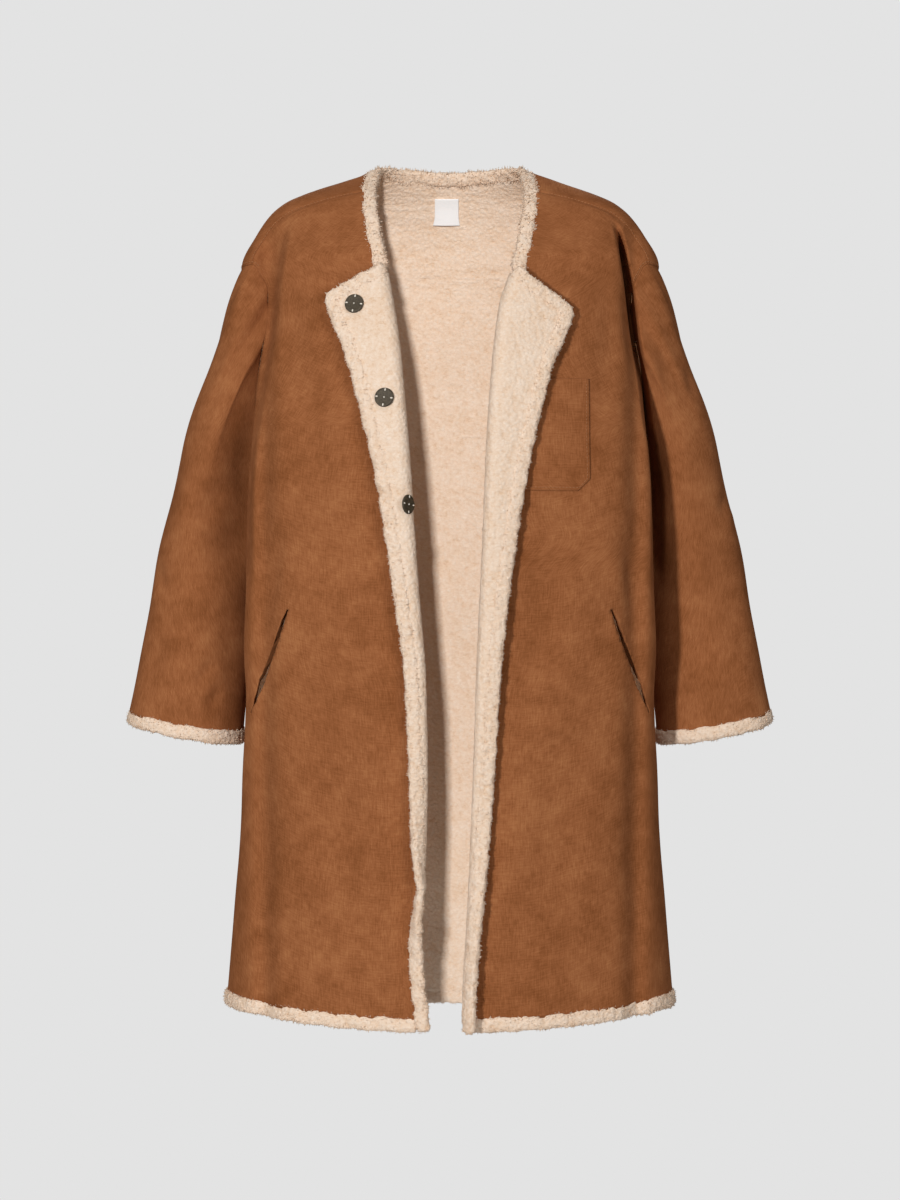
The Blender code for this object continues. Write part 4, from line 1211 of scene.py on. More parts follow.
@dataclass
class Front:
    """One front, from shoulder seam and side seam to the turned lapel."""

    hand: Hand
    wardrobe: Wardrobe
    rows: PanelRows
    columns: int = 62
    lapel_columns: int = 28
    trim_start: int = 6
    slit_top: tuple[float, float] = (0.1835, -0.508)
    slit_bottom: tuple[float, float] = (0.2290, -0.628)
    slit_width: float = 0.0090
    lip_lift: float = 0.0030

    def lip(self, points: np.ndarray) -> np.ndarray:
        """Lift of the pocket's lips: the one towards the centre up, the other one down."""
        top, bottom = np.array(self.slit_top), np.array(self.slit_bottom)
        line = bottom - top
        place = points[..., [0, 2]] - top
        share = np.sum(place * line, axis=-1) / np.sum(line * line)
        side = (place[..., 0] * line[1] - place[..., 1] * line[0]) / np.linalg.norm(line)
        fade = ease(-0.05, 0.25, share) * ease(1.05, 0.8, share) * (points[..., 1] < 0)
        up = np.exp(-np.maximum(side, 0) / 0.008) * ease(-0.001, 0.007, side)
        down = np.exp(np.minimum(side, 0) / 0.014) * ease(0.001, -0.007, side)
        return self.lip_lift * fade * (up - down)

    def suede_offset(self, points: np.ndarray, free: np.ndarray | float = 1.0) -> np.ndarray:
        """Lift of the suede over the smooth body surface, for points at +X."""
        return relief(points, on_body(FRONT_CREASES[self.hand], angle_at), free) + self.lip(points)

    def grid(self) -> tuple[np.ndarray, np.ndarray, np.ndarray, int]:
        """Middle points, normals, kept faces and notch row of the front at +X."""
        lapel = LAPELS[self.hand]
        yoke, arm = self.rows.yoke(), self.rows.armhole()
        heights = np.concatenate([yoke[1:], arm, self.rows.skirt()])
        notch = len(yoke) - 2 + NOTCH_TURN * self.rows.armhole_rows // 180
        outer = seam_angles(heights, "front")
        neck = read(NECK_EDGE, "height", "out", heights)
        out = np.where(np.arange(len(heights)) < notch, neck, fold_start(lapel, heights))
        inner = angle_at(out, heights)
        share = edged_shares(self.columns)
        angle = outer[:, None] * (1 - share) + inner[:, None] * share
        flat, normals = laid(angle, heights[:, None] + 0 * angle)
        shares = np.linspace(0, 1, self.lapel_columns + 1)[1:]
        points = np.concatenate([flat, lapel_grid(lapel, heights, shares)], axis=1)
        turned = len(share) - 1
        facing = -grid_normal(points[notch:])
        normals = np.concatenate([normals, 0 * points[:, turned + 1:]], axis=1)
        normals[notch:, turned:] = facing[:, turned:]
        keep = np.ones((len(heights) - 1, points.shape[1] - 1), bool)
        keep[:notch, turned:] = False
        return points, normals, keep, notch

    def layers(self) -> tuple[np.ndarray, np.ndarray, np.ndarray]:
        """Suede side and pile side of the front at +X, and the pile's height."""
        middle, normal, _, _ = self.grid()
        turned = len(edged_shares(self.columns)) - 1
        base = middle + normal * CLOTH / 2
        from_seam = np.linalg.norm(middle - middle[:, :1], axis=-1)
        lift = self.suede_offset(base, ease(0.0, STIFF, from_seam))
        column = np.arange(middle.shape[1])
        lift = lift * ease(turned + 2, turned - 6, column)
        lift[:, :2] -= SEAM_DIPS
        flat = (column < turned)[:, None]
        outer = base + normal * lift[..., None]
        outer = outer + tuck(outer, self.hand) * flat
        inside = middle - normal * CLOTH / 2
        curl = curl_height(inside, PileSize.LARGE)
        stand = pile(inside) * ease(0.0, STIFF_PILE, from_seam)
        inner = middle - normal * (CLOTH / 2 - lift + stand)[..., None]
        return outer, inner + tuck(inner, self.hand) * flat, curl

    def cut_slit(self, piece: bpy.types.Object) -> None:
        """Cuts the slanted pocket opening through the front, widest near its middle."""
        shares = np.linspace(0, 1, 9)
        top, bottom = np.array(self.slit_top), np.array(self.slit_bottom)
        place = top + (bottom - top) * shares[:, None]
        centre, normal = skin(angle_at(place[:, 0], place[:, 1]), place[:, 1])
        along = unit(np.gradient(centre, axis=0))
        across = unit(np.cross(along, normal))
        wide = self.slit_width / 2 * (0.22 + 0.78 * np.sin(np.pi * shares ** 0.8))[:, None]
        ring = np.stack([
            centre - across * wide - normal * 2 * CLOTH,
            centre + across * wide - normal * 2 * CLOTH,
            centre + across * wide + normal * CLOTH,
            centre - across * wide + normal * CLOTH,
        ], axis=1)
        quads = grid_quads(len(shares), 4, closed=True).reshape(-1, 4)
        last = 4 * (len(shares) - 1)
        caps = np.array([[0, 1, 2, 3], [last + 3, last + 2, last + 1, last]])
        faces = np.concatenate([quads, caps])
        mesh = bpy.data.meshes.new("slit_cutter")
        mesh.from_pydata(mirrored(ring.reshape(-1, 3), self.hand).tolist(), [], faces.tolist())
        cutter = linked("slit_cutter", mesh)
        bpy.context.view_layer.update()
        normals_out(mesh)
        cut = piece.modifiers.new("pocket_opening", "BOOLEAN")
        cut.operation = "DIFFERENCE"
        cut.solver = "MANIFOLD"
        cut.object = cutter
        settle(piece)
        bpy.data.objects.remove(cutter)

    def build(self) -> bpy.types.Object:
        """Makes the front's cloth and cuts its pocket opening."""
        _, _, keep, _ = self.grid()
        outer, inner, curl = self.layers()
        cloth = wall(mirrored(outer, self.hand), mirrored(inner, self.hand), keep, curl=curl)
        name = "front_" + self.hand.word
        piece = cloth.add_to_scene(name + "_cloth", self.wardrobe.cloth, "suede", (name,))
        self.cut_slit(piece)
        return piece

    def edge(self) -> tuple[np.ndarray, np.ndarray]:
        """Path and normals of its pile edging: across the lapel's top, round and down."""
        middle, normal, _, notch = self.grid()
        turned = len(edged_shares(self.columns)) - 1
        start = turned + self.trim_start
        top, top_normal = middle[notch, start:], normal[notch, start:]
        side, side_normal = middle[notch + 1:, -1], normal[notch + 1:, -1]
        below = side[-1:] + unit(side[-1:] - side[-2:-1]) * (TRIM_WIDTH - 0.0036)
        path = np.concatenate([top, side, below])
        facing = np.concatenate([top_normal, side_normal, side_normal[-1:]])
        return mirrored(path, self.hand), mirrored(facing, self.hand)


def normals_out(mesh: bpy.types.Mesh) -> None:
    """Turns a closed mesh's faces outward if they all point in."""
    mesh.calc_loop_triangles()
    corners = np.empty(len(mesh.loop_triangles) * 3, dtype=np.int32)
    mesh.loop_triangles.foreach_get("vertices", corners)
    points = np.empty(len(mesh.vertices) * 3)
    mesh.vertices.foreach_get("co", points)
    p = points.reshape(-1, 3)[corners.reshape(-1, 3)]
    if np.sum(np.cross(p[:, 0], p[:, 1]) * p[:, 2]) < 0:
        mesh.flip_normals()


def settle(piece: bpy.types.Object) -> None:
    """Applies a piece's modifiers to its mesh."""
    deps = bpy.context.evaluated_depsgraph_get()
    made = bpy.data.meshes.new_from_object(piece.evaluated_get(deps))
    piece.modifiers.clear()
    old, piece.data = piece.data, made
    name = old.name
    bpy.data.meshes.remove(old)
    made.name = name


@dataclass
class Back:
    """The back in one piece, which comes over the shoulders to the forward seams."""

    wardrobe: Wardrobe
    rows: PanelRows
    columns: int = 100
    pile_share: float = 0.5

    def grid(self) -> tuple[np.ndarray, np.ndarray, int]:
        """Middle points, normals and number of neck rows of the back."""
        neck = self.rows.neck()
        heights = np.concatenate([neck, self.rows.yoke(), self.rows.armhole(), self.rows.skirt()])
        outer = seam_angles(heights, "back")
        over = angle_at(read(NECK_EDGE, "height", "out", heights), heights)
        outer = np.where(heights > COLLAR_POINT, over, outer)
        even = np.linspace(0, 1, self.columns + 1)
        close = np.array([0.002, 0.005])
        share = np.concatenate([even[:1], close, even[1:-1], 1 - close[::-1], even[-1:]])
        angle = outer[:, None] * (1 - share) + (2 * np.pi - outer)[:, None] * share
        return (*laid(angle, heights[:, None] + 0 * angle), len(neck))

    @staticmethod
    def tucked(points: np.ndarray) -> np.ndarray:
        """The same points stepped back into both arm folds."""
        step = np.zeros_like(points)
        for hand in Hand:
            own = points[..., 0] * hand.value > 0
            step[own] = tuck(mirrored(points, hand), hand)[own]
        return points + step

    def build(self) -> tuple[bpy.types.Object, bpy.types.Object]:
        """Makes the back's two bonded layers, suede outside and pile inside."""
        middle, normal, _ = self.grid()
        base = middle + normal * CLOTH / 2
        from_seam = np.minimum(
            np.linalg.norm(middle - middle[:, :1], axis=-1), np.linalg.norm(middle - middle[:, -1:], axis=-1)
        )
        lift = relief(base, on_body(BACK_CREASES, back_angle_at), ease(0.0, STIFF, from_seam))
        lift[:, :2] -= SEAM_DIPS
        lift[:, -2:] -= SEAM_DIPS[::-1]
        inside = middle - normal * CLOTH / 2
        curl = curl_height(inside, PileSize.LARGE)
        outer = self.tucked(base + normal * lift[..., None])
        bond = self.tucked(base + normal * (lift - CLOTH * (1 - self.pile_share))[..., None])
        inner = self.tucked(middle - normal * (CLOTH / 2 - lift + pile(inside))[..., None])
        suede = wall(outer, bond + normal * SEAM / 2).add_to_scene(
            "back_cloth", self.wardrobe.cloth, "suede", ("back",)
        )
        sherpa = wall(bond - normal * SEAM / 2, inner, curl=curl, around=1).add_to_scene(
            "back_lining", self.wardrobe.cloth, "sherpa", ("back",)
        )
        return suede, sherpa


@dataclass
class Sleeve:
    """One dropped sleeve, an open tube from the armhole to the cuff."""

    hand: Hand
    wardrobe: Wardrobe
    around: int = 128
    steps: int = 132
    flatness: float = 0.8
    loose_over: float = 0.03

    def ring(self, along: np.ndarray, turns: np.ndarray) -> np.ndarray:
        """Rounded rings of the sleeve: its outer and inner lines joined by a cosine."""
        along = np.asarray(along, float)[:, None]
        turn = np.radians(turns)[None, :]
        column = {name: read(SLEEVE, "along", name, along) for name in SleeveStep._fields[1:]}
        share = (1 + np.cos(turn)) / 2
        x = column["inner_x"] + (column["outer_x"] - column["inner_x"]) * share
        z = column["inner_z"] + (column["outer_z"] - column["inner_z"]) * share
        full = np.where(np.cos(turn) > 0, self.flatness, 1.0)
        forward = column["half_depth"] * np.sign(np.sin(turn)) * np.abs(np.sin(turn)) ** full
        x = x + column["lean"] * forward
        z = z - CUFF_FRONT_DROP * np.sin(turn) * ease(0.6, 1.0, along)
        return np.stack([x, column["middle_y"] - forward, z], axis=-1)

    def surface(self, along: np.ndarray, turns: np.ndarray) -> np.ndarray:
        """Outer points at +X: the rings, faded near the top into the armhole's line."""
        rings = self.ring(along, turns)
        seat, _ = armhole_curve(turns)
        first = self.ring(np.zeros(1), turns)[0]
        fade = (1 - ease(0.0, 0.42, along))[:, None, None]
        return rings + (seat - first) * fade

    def grid(self) -> tuple[np.ndarray, np.ndarray]:
        """Outer points and normals of the sleeve at +X, from armhole to cuff."""
        along = np.concatenate([[0.0, 0.003], np.linspace(0, 1, self.steps + 1)[1:]])
        turns = np.linspace(0, 360, self.around, endpoint=False)
        points = self.surface(along, turns)
        _, seat_normal = armhole_curve(turns)
        down = np.gradient(points, axis=0)
        across = (np.roll(points, -1, axis=1) - np.roll(points, 1, axis=1)) / 2
        normal = unit(np.cross(across, down))
        middle = points.mean(axis=1, keepdims=True)
        normal = normal * np.sign(np.sum(normal * (points - middle)))
        agree = ease(0.2, 0.8, np.sum(normal[0] * seat_normal, axis=-1))[:, None]
        for row, share in ((0, 1.0), (1, 0.9), (2, 0.6), (3, 0.3)):
            part = agree * share
            normal[row] = unit(normal[row] * (1 - part) + seat_normal * part)
        return points, normal

    def creases(self) -> list:
        """The sleeve's creases, with their ends on its surface."""
        made = []
        for crease in SLEEVE_CREASES[self.hand]:
            turns, along = np.array([crease.start, crease.end]).T
            ends = self.surface(along, turns)
            made.append((ends[0, 0], ends[1, 1], crease.half_width, crease.depth))
        return made

    def build(self) -> bpy.types.Object:
        """Makes the sleeve's cloth."""
        points, normal = self.grid()
        from_seam = np.linalg.norm(points - points[:1], axis=-1)
        stiff = ease(0.0, STIFF_PILE, from_seam)
        lift = relief(points, self.creases(), stiff)
        lift[:2] -= SEAM_DIPS[:, None]
        outer = points + normal * lift[..., None]
        inside = points - normal * CLOTH
        curl = curl_height(inside, PileSize.LARGE)
        inner = points + normal * (lift - CLOTH - pile(inside) * stiff)[..., None]
        loose = ease(0.0, self.loose_over, from_seam)
        outer, inner = outer + tuck(outer, self.hand, loose), inner + tuck(inner, self.hand, loose)
        cloth = wall(mirrored(outer, self.hand), mirrored(inner, self.hand), closed=True, curl=curl)
        name = "sleeve_" + self.hand.word
        return cloth.add_to_scene(name + "_cloth", self.wardrobe.cloth, "suede", (name,))

    def edge(self) -> tuple[np.ndarray, np.ndarray, np.ndarray]:
        """Path, outward steps and normals of the cuff's edging."""
        points, normal = self.grid()
        path = points[-1] - normal[-1] * CLOTH / 2
        out = unit(points[-1] - points[-2])
        return mirrored(path, self.hand), mirrored(out, self.hand), mirrored(normal[-1], self.hand)


def outward(path: np.ndarray, normal: np.ndarray) -> np.ndarray:
    """Step that lies in the cloth and points off its edge, longer round a corner."""
    legs = unit(np.diff(path, axis=0))
    before = np.concatenate([legs[:1], legs])
    after = np.concatenate([legs, legs[-1:]])
    first = unit(np.cross(before, normal))
    second = unit(np.cross(after, normal))
    both = unit(first + second)
    return both / np.maximum(np.sum(both * first, axis=-1, keepdims=True), 0.9)


@dataclass
class Edging:
    """A length of pile edging along a cloth edge, thick and curly, with loose locks."""

    name: str
    wardrobe: Wardrobe
    path: np.ndarray
    out: np.ndarray
    normal: np.ndarray
    node: str = ""
    closed: bool = False
    rounded_ends: tuple[bool, bool] = (True, True)
    thick: float = TRIM_THICK
    section_points: int = 28
    lap: float = 0.0030
    end_radius: float = 0.005
    lock_area: float = 8.8e-6
    lock_length: float = 0.0034
    lock_radius: tuple[float, float] = (0.00035, 0.00062)
    lock_scatter: float = 0.0015
    lock_sunk: float = 0.0006
    seed: int = 1

    def section(self) -> np.ndarray:
        """Squared oval across the edging: places off the edge and along the normal."""
        turn = circle(self.section_points)
        power = 2 / 2.8
        across = np.sign(np.cos(turn)) * np.abs(np.cos(turn)) ** power
        high = np.sign(np.sin(turn)) * np.abs(np.sin(turn)) ** power
        return np.stack([TRIM_WIDTH / 2 * (1 + across) - self.lap, self.thick / 2 * high], axis=-1)

    def surface(self) -> tuple[np.ndarray, np.ndarray]:
        """Smooth points of the edging and their outward normals."""
        section = self.section()
        middle = np.array([TRIM_WIDTH / 2 - self.lap, 0.0])
        shaped = middle + (section - middle)[None] * self.fullness()[:, None, None]
        points = (
            self.path[:, None]
            + self.out[:, None] * shaped[:, :, :1]
            + self.normal[:, None] * shaped[:, :, 1:]
        )
        inner = section[None, :, :1] + self.lap - TRIM_WIDTH / 2
        high = section[None, :, 1:]
        away = unit(self.out[:, None] * inner / TRIM_WIDTH + self.normal[:, None] * high / self.thick)
        return points, away

    def fullness(self) -> np.ndarray:
        """How full the section is at each point of the path: a quarter circle at a rounded end."""
        gone = travelled(self.path)
        full = np.ones(len(gone))
        if not self.closed:
            for ends, left in zip(self.rounded_ends, (gone, gone[-1] - gone)):
                near = np.clip(1 - left / self.end_radius, 0, 1)
                full = full * np.where(ends, np.sqrt(1 - 0.75 * near ** 2), 1.0)
        return full

    def locks(self, points: np.ndarray, away: np.ndarray) -> Surface:
        """Loose locks that stand out of the curls: bent three-sided cones.

        Args:
            points: places on the edging.
            away: outward normals there.

        Returns:
            One surface of all the locks.
        """
        rng = np.random.default_rng(self.seed)
        spans = np.linalg.norm(np.diff(points, axis=0), axis=-1).mean(axis=1).sum()
        girth = np.linalg.norm(points - np.roll(points, 1, axis=1), axis=-1).mean(axis=0).sum()
        count = int(spans * girth / self.lock_area)
        row = rng.integers(0, len(points), count)
        column = rng.integers(0, points.shape[1], count)
        root, up = points[row, column], away[row, column]
        lean = unit(rng.normal(size=(count, 3)))
        side = unit(np.cross(up, lean))
        cross = np.cross(up, side)
        length = rng.uniform(0.4 * self.lock_length, self.lock_length, (count, 1))
        radius = rng.uniform(*self.lock_radius, (count, 1))
        aside = rng.uniform(-self.lock_scatter, self.lock_scatter, (count, 1))
        root = root + side * aside - up * self.lock_sunk
        bend = unit(up + lean * 0.9)
        turns = (np.arange(3) * 2 * np.pi / 3)[:, None]
        ring = side[:, None] * np.cos(turns) + cross[:, None] * np.sin(turns)
        low = root[:, None] + ring * radius[:, None]
        mid = (root + up * length * 0.55)[:, None] + ring * radius[:, None] * 0.8
        tip = root + up * length * 0.55 + bend * length * 0.5
        shaped = np.concatenate([low, mid, tip[:, None]], axis=1)
        faces = [[0, 2, 1]]
        for k in range(3):
            n = (k + 1) % 3
            faces += [[k, n, 3 + n], [k, 3 + n, 3 + k], [3 + k, 3 + n, 6]]
        start = np.arange(count)[:, None, None] * 7
        # Painted shade: these curl values darken the locks' roots in the pile and leave their tips light.
        tone = np.tile(np.array([0.3] * 3 + [0.7] * 3 + [1.0]), count)
        return Surface(shaped.reshape(-1, 3), (start + np.array(faces)).reshape(-1, 3), curl=tone)

    def build(self) -> list[bpy.types.Object]:
        """Makes the edging and its loose locks."""
        smooth, away = self.surface()
        curl = curl_height(smooth, PileSize.LARGE)
        wander = 0.0005 * np.sin(smooth[..., :1] * 190 + smooth[..., 2:] * 230)
        grown = smooth + away * (1.9 * pile(smooth)[..., None] + wander)
        rows, columns = smooth.shape[:2]
        if self.closed:
            faces = grid_quads(rows + 1, columns, closed=True).reshape(-1, 4) % (rows * columns)
        else:
            half = columns // 2
            order = np.arange(columns)
            corners = (order[:half - 1], order[1:half], order[-2:-half - 1:-1], order[:-half:-1])
            cap = np.stack(corners, axis=1)
            quads = grid_quads(rows, columns, closed=True).reshape(-1, 4)
            faces = np.concatenate([quads, cap, cap[:, ::-1] + (rows - 1) * columns])
        piece = Surface(grown.reshape(-1, 3), faces, curl=curl.reshape(-1)).add_to_scene(
            self.name + "_pile", [self.wardrobe.sherpa], "sherpa", (self.node or self.name,)
        )
        normals_out(piece.data)
        loose = self.locks(grown, away).add_to_scene(self.name + "_locks", [self.wardrobe.sherpa], "sherpa")
        return [piece, loose]


@dataclass
class Edgings:
    """All the pile edging: neck, fronts, hem and cuffs."""

    wardrobe: Wardrobe
    fronts: dict[Hand, Front]
    back: Back
    sleeves: dict[Hand, Sleeve]
    inside: list[bpy.types.Object] = field(default_factory=list)
    neck_back_half: float = 0.086
    neck_dip: float = 0.0045
    neck_lock: float = 0.0050

    def neck(self) -> list[bpy.types.Object]:
        """Edging of the neck, from one collar notch round the back to the other."""
        middle, normal, _, notch = self.fronts[Hand.LEFT].grid()
        back, back_normal, rows = self.back.grid()
        last = len(edged_shares(self.fronts[Hand.LEFT].columns)) - 1
        edge, facing = middle[notch - 2::-1, last], normal[notch - 2::-1, last]
        side, side_normal = back[rows:0:-1, 0], back_normal[rows:0:-1, 0]
        half, half_normal = np.concatenate([edge, side]), np.concatenate([facing, side_normal])
        path = np.concatenate([half, back[0], mirrored(half[::-1], Hand.RIGHT)])
        facing = np.concatenate([half_normal, back_normal[0], mirrored(half_normal[::-1], Hand.RIGHT)])
        path, facing = thinned(path, facing)
        path, facing = rounded(path, 56), unit(rounded(facing, 56))
        out = outward(path, facing)
        if out[0][0] > 0:
            out = -out
        beside = np.nonzero(np.abs(path[:, 0]) >= self.neck_back_half)[0]
        halfway = len(path) // 2
        first, last = int(beside[beside < halfway][-1]), int(beside[beside > halfway][0])
        dip = np.cos(np.pi / 2 * np.clip(path[first:last, 0] / self.neck_back_half, -1, 1)) ** 2
        path[first:last, 2] -= self.neck_dip * dip
        return self.lengths("trim_neck", path, out, facing, (first, last), TRIM_THICK * 0.8, self.neck_lock)

    def lengths(self, node: str, path: np.ndarray, out: np.ndarray, facing: np.ndarray,
                cuts: tuple[int, int], thick: float = TRIM_THICK,
                lock_length: float = 0.0034) -> list[bpy.types.Object]:
        """Makes an edging in three lengths: left, the one behind, and right.

        Args:
            node: solid that they stand for.
            path: points of the cloth's edge.
            out: steps off the edge.
            facing: the cloth's normals.
            cuts: places on the path where the length behind starts and ends.
            thick: thickness of the length behind.
            lock_length: length of the longest loose locks.

        Returns:
            All the pieces; those of the length behind are noted as seen inside.
        """
        first, last = cuts
        parts = (
            ("left", slice(0, first + 1), (True, False), TRIM_THICK),
            ("back", slice(first, last + 1), (False, False), thick),
            ("right", slice(last, len(path)), (False, True), TRIM_THICK),
        )
        made = [
            Edging(f"{node}_{word}", self.wardrobe, path[part], out[part], facing[part], node=node,
                   rounded_ends=ends, thick=high, lock_length=lock_length, seed=20 + len(word)).build()
            for word, part, ends, high in parts
        ]
        self.inside += made[1]
        return made[0] + made[1] + made[2]

    def front(self, hand: Hand) -> list[bpy.types.Object]:
        """Edging of a front."""
        path, facing = thinned(*self.fronts[hand].edge())
        path, facing = rounded(path, 1), unit(rounded(facing, 1))
        out = outward(path, facing)
        if out[1][2] < 0:
            out = -out
        name = "trim_front_" + hand.word
        return Edging(name, self.wardrobe, path, out, facing, seed=5 + hand.value).build()

    def hem(self) -> list[bpy.types.Object]:
        """Edging of the hem, from one front edge round the back to the other."""
        ends = []
        for hand in (Hand.LEFT, Hand.RIGHT):
            at = np.array([HEM_HEIGHT])
            out = fold_start(LAPELS[hand], at)[0]
            towards, _, _ = fold_path(LAPELS[hand], at, np.linspace(0, 1, 33))
            ends.append(angle_at(out - towards.max() + SEAM, HEM_HEIGHT))
        angle = np.linspace(ends[0], 2 * np.pi - ends[1], 580)
        path, facing = laid(angle, np.full(angle.shape, HEM_HEIGHT))
        out = outward(path, facing)
        if out[290][2] > 0:
            out = -out
        cuts = tuple(int(np.argmax(angle > turn)) for turn in np.radians((97.0, 263.0)))
        return self.lengths("trim_hem", path, out, facing, cuts, TRIM_THICK * 0.85)

    def cuff(self, hand: Hand) -> list[bpy.types.Object]:
        """Ring of edging round the end of a sleeve."""
        path, out, facing = self.sleeves[hand].edge()
        name = "trim_cuff_" + hand.word
        return Edging(name, self.wardrobe, path, out, facing, closed=True, seed=12 + hand.value).build()


def rounded(path: np.ndarray, passes: int) -> np.ndarray:
    """A path whose corners are rounded: each pass averages every point with its neighbours."""
    for _ in range(passes):
        path = np.concatenate([path[:1], (path[:-2] + 2 * path[1:-1] + path[2:]) / 4, path[-1:]])
    return path


def thinned(path: np.ndarray, facing: np.ndarray, spacing: float = 0.0023) -> tuple[np.ndarray, np.ndarray]:
    """A path and its normals read again at even spacing."""
    gone = travelled(path)
    at = np.linspace(0, gone[-1], int(gone[-1] / spacing) + 1)
    return read_path(path, at, gone), unit(read_path(facing, at, gone))


def tubes(middles: np.ndarray, across: np.ndarray, up: np.ndarray, sides: int = 6) -> Surface:
    """Separate open tubes as one surface, each through its own row of middles.

    Args:
        middles: points as tubes by rings by 3.
        across: half width of each ring, as a vector.
        up: half height of each ring, as a vector.
        sides: number of points in a ring.

    Returns:
        The surface.
    """
    turn = circle(sides)[:, None]
    count, rings = middles.shape[:2]
    points = middles[:, :, None] + across[:, :, None] * np.cos(turn) + up[:, :, None] * np.sin(turn)
    quads = grid_quads(rings, sides, closed=True).reshape(-1, 4)
    faces = np.arange(count)[:, None, None] * rings * sides + quads
    return Surface(points.reshape(-1, 3), faces.reshape(-1, 4))


@dataclass
class Snap:
    """A sewn snap: a stamped cap with a raised rim, and four bars of thread."""

    name: str
    wardrobe: Wardrobe
    centre: np.ndarray
    facing: np.ndarray
    radius: float
    thick: float
    sides: int = 40
    threads: int = 4

    def axes(self) -> tuple[np.ndarray, np.ndarray]:
        """Two directions in the cap's plane: across and up."""
        across = unit(np.cross(self.facing, np.array([0.0, 0.0, 1.0])))
        return across, np.cross(across, self.facing)

    def cap(self) -> Surface:
        """Turned profile: flat underside, rounded edge and a face dished by a little."""
        profile = np.array([
            (0.0, 0.0), (0.94, 0.0), (1.0, 0.30), (1.0, 0.62), (0.96, 0.88), (0.88, 1.0),
            (0.78, 0.96), (0.50, 0.88), (0.24, 0.84), (0.10, 0.84), (0.0, 0.84),
        ]) * np.array([self.radius, self.thick])
        turn = circle(self.sides)
        across, up = self.axes()
        way = np.cos(turn)[:, None] * across + np.sin(turn)[:, None] * up
        rings = self.centre + way[None] * profile[:, :1, None] + self.facing * profile[:, 1:, None]
        quads = grid_quads(len(profile), self.sides, closed=True).reshape(-1, 4)
        return Surface(rings.reshape(-1, 3), quads)

    def bars(self) -> Surface:
        """Short bars of thread near the edge, at the four quarters, and a knot in the middle."""
        across, up = self.axes()
        turns = circle(self.threads) + 0.12
        run = np.linspace(0, 1, 7)[:, None]
        wide = 0.11 * self.radius * np.sqrt(np.clip(np.sin(np.pi * (0.08 + 0.84 * run)), 0, 1))
        middles, sides = [], []
        for turn in (*turns, None):
            way = across if turn is None else np.cos(turn) * across + np.sin(turn) * up
            reach = -0.07 + 0.14 * run if turn is None else 0.66 + 0.26 * run
            middles.append(self.centre + way * self.radius * reach + self.facing * self.thick * 0.95)
            sides.append(np.cross(self.facing, way) * wide * 0.8)
        high = self.facing * wide * 0.6
        return tubes(np.stack(middles), np.stack(sides), np.stack([high] * len(sides)))

    def build(self) -> None:
        """Makes the cap and its thread."""
        cap = self.cap().add_to_scene(self.name + "_cap", [self.wardrobe.bronze], "bronze_cap", (self.name,))
        close_poles(cap.data)
        bars = self.bars().add_to_scene(self.name + "_thread", [self.wardrobe.white_thread], "white_tape")
        close_poles(bars.data)


def close_poles(mesh: bpy.types.Mesh) -> None:
    """Merges points that share a place, fills open ends and turns the faces outward."""
    made = bmesh.new()
    made.from_mesh(mesh)
    bmesh.ops.remove_doubles(made, verts=made.verts, dist=1e-6)
    bmesh.ops.holes_fill(made, edges=[e for e in made.edges if e.is_boundary], sides=12)
    bmesh.ops.recalc_face_normals(made, faces=made.faces)
    made.to_mesh(mesh)
    made.free()
    mesh.shade_smooth()


@dataclass
class Snaps:
    """Three caps on the right lapel's pile and their mates under the left lapel."""

    wardrobe: Wardrobe
    heights: tuple[float, ...] = (-0.1445, -0.2645, -0.3870)
    from_edges: tuple[float, ...] = (0.0325, 0.0325, 0.0312)
    tilts: tuple[float, ...] = (0.0, 0.0, 28.0)
    cap_radius: float = 0.011
    cap_thick: float = 0.0025
    mate_radius: float = 0.0065
    mate_thick: float = 0.002
    mate_from_edge: float = 0.0245

    def spot(self, hand: Hand, height: float, from_edge: float) -> tuple[np.ndarray, np.ndarray]:
        """Middle of the lapel's cloth a distance in from its edge, and its suede normal."""
        lapel = LAPELS[hand]
        reach = read(lapel, "height", "reach", np.array([height]))[0]
        share = 1 - (from_edge - TRIM_WIDTH) / (reach - TRIM_WIDTH)
        heights = height + np.array([0.004, 0.0, -0.004])
        patch = lapel_grid(lapel, heights, share + np.array([-0.04, 0.0, 0.04]))
        return patch[1, 1], -grid_normal(patch)[1, 1]

    def build(self) -> None:
        """Makes all six."""
        for number, (height, from_edge) in enumerate(zip(self.heights, self.from_edges), start=1):
            centre, suede_way = self.spot(Hand.RIGHT, height, from_edge)
            centre = centre - suede_way * (CLOTH / 2 + 2 * SEAM)
            facing = mirrored(-suede_way, Hand.RIGHT)
            tilt = np.radians(self.tilts[number - 1])
            sideways = np.cross(np.array([0.0, 0.0, 1.0]), facing)
            facing = unit(facing * np.cos(tilt) + sideways * np.sin(tilt))
            Snap(f"snap_right_{number}", self.wardrobe, mirrored(centre, Hand.RIGHT), facing,
                 self.cap_radius, self.cap_thick).build()
            centre, suede_way = self.spot(Hand.LEFT, height, self.mate_from_edge)
            centre = centre + suede_way * (CLOTH / 2 + 2 * SEAM)
            Snap(f"snap_left_{number}", self.wardrobe, centre, suede_way,
                 self.mate_radius, self.mate_thick).build()


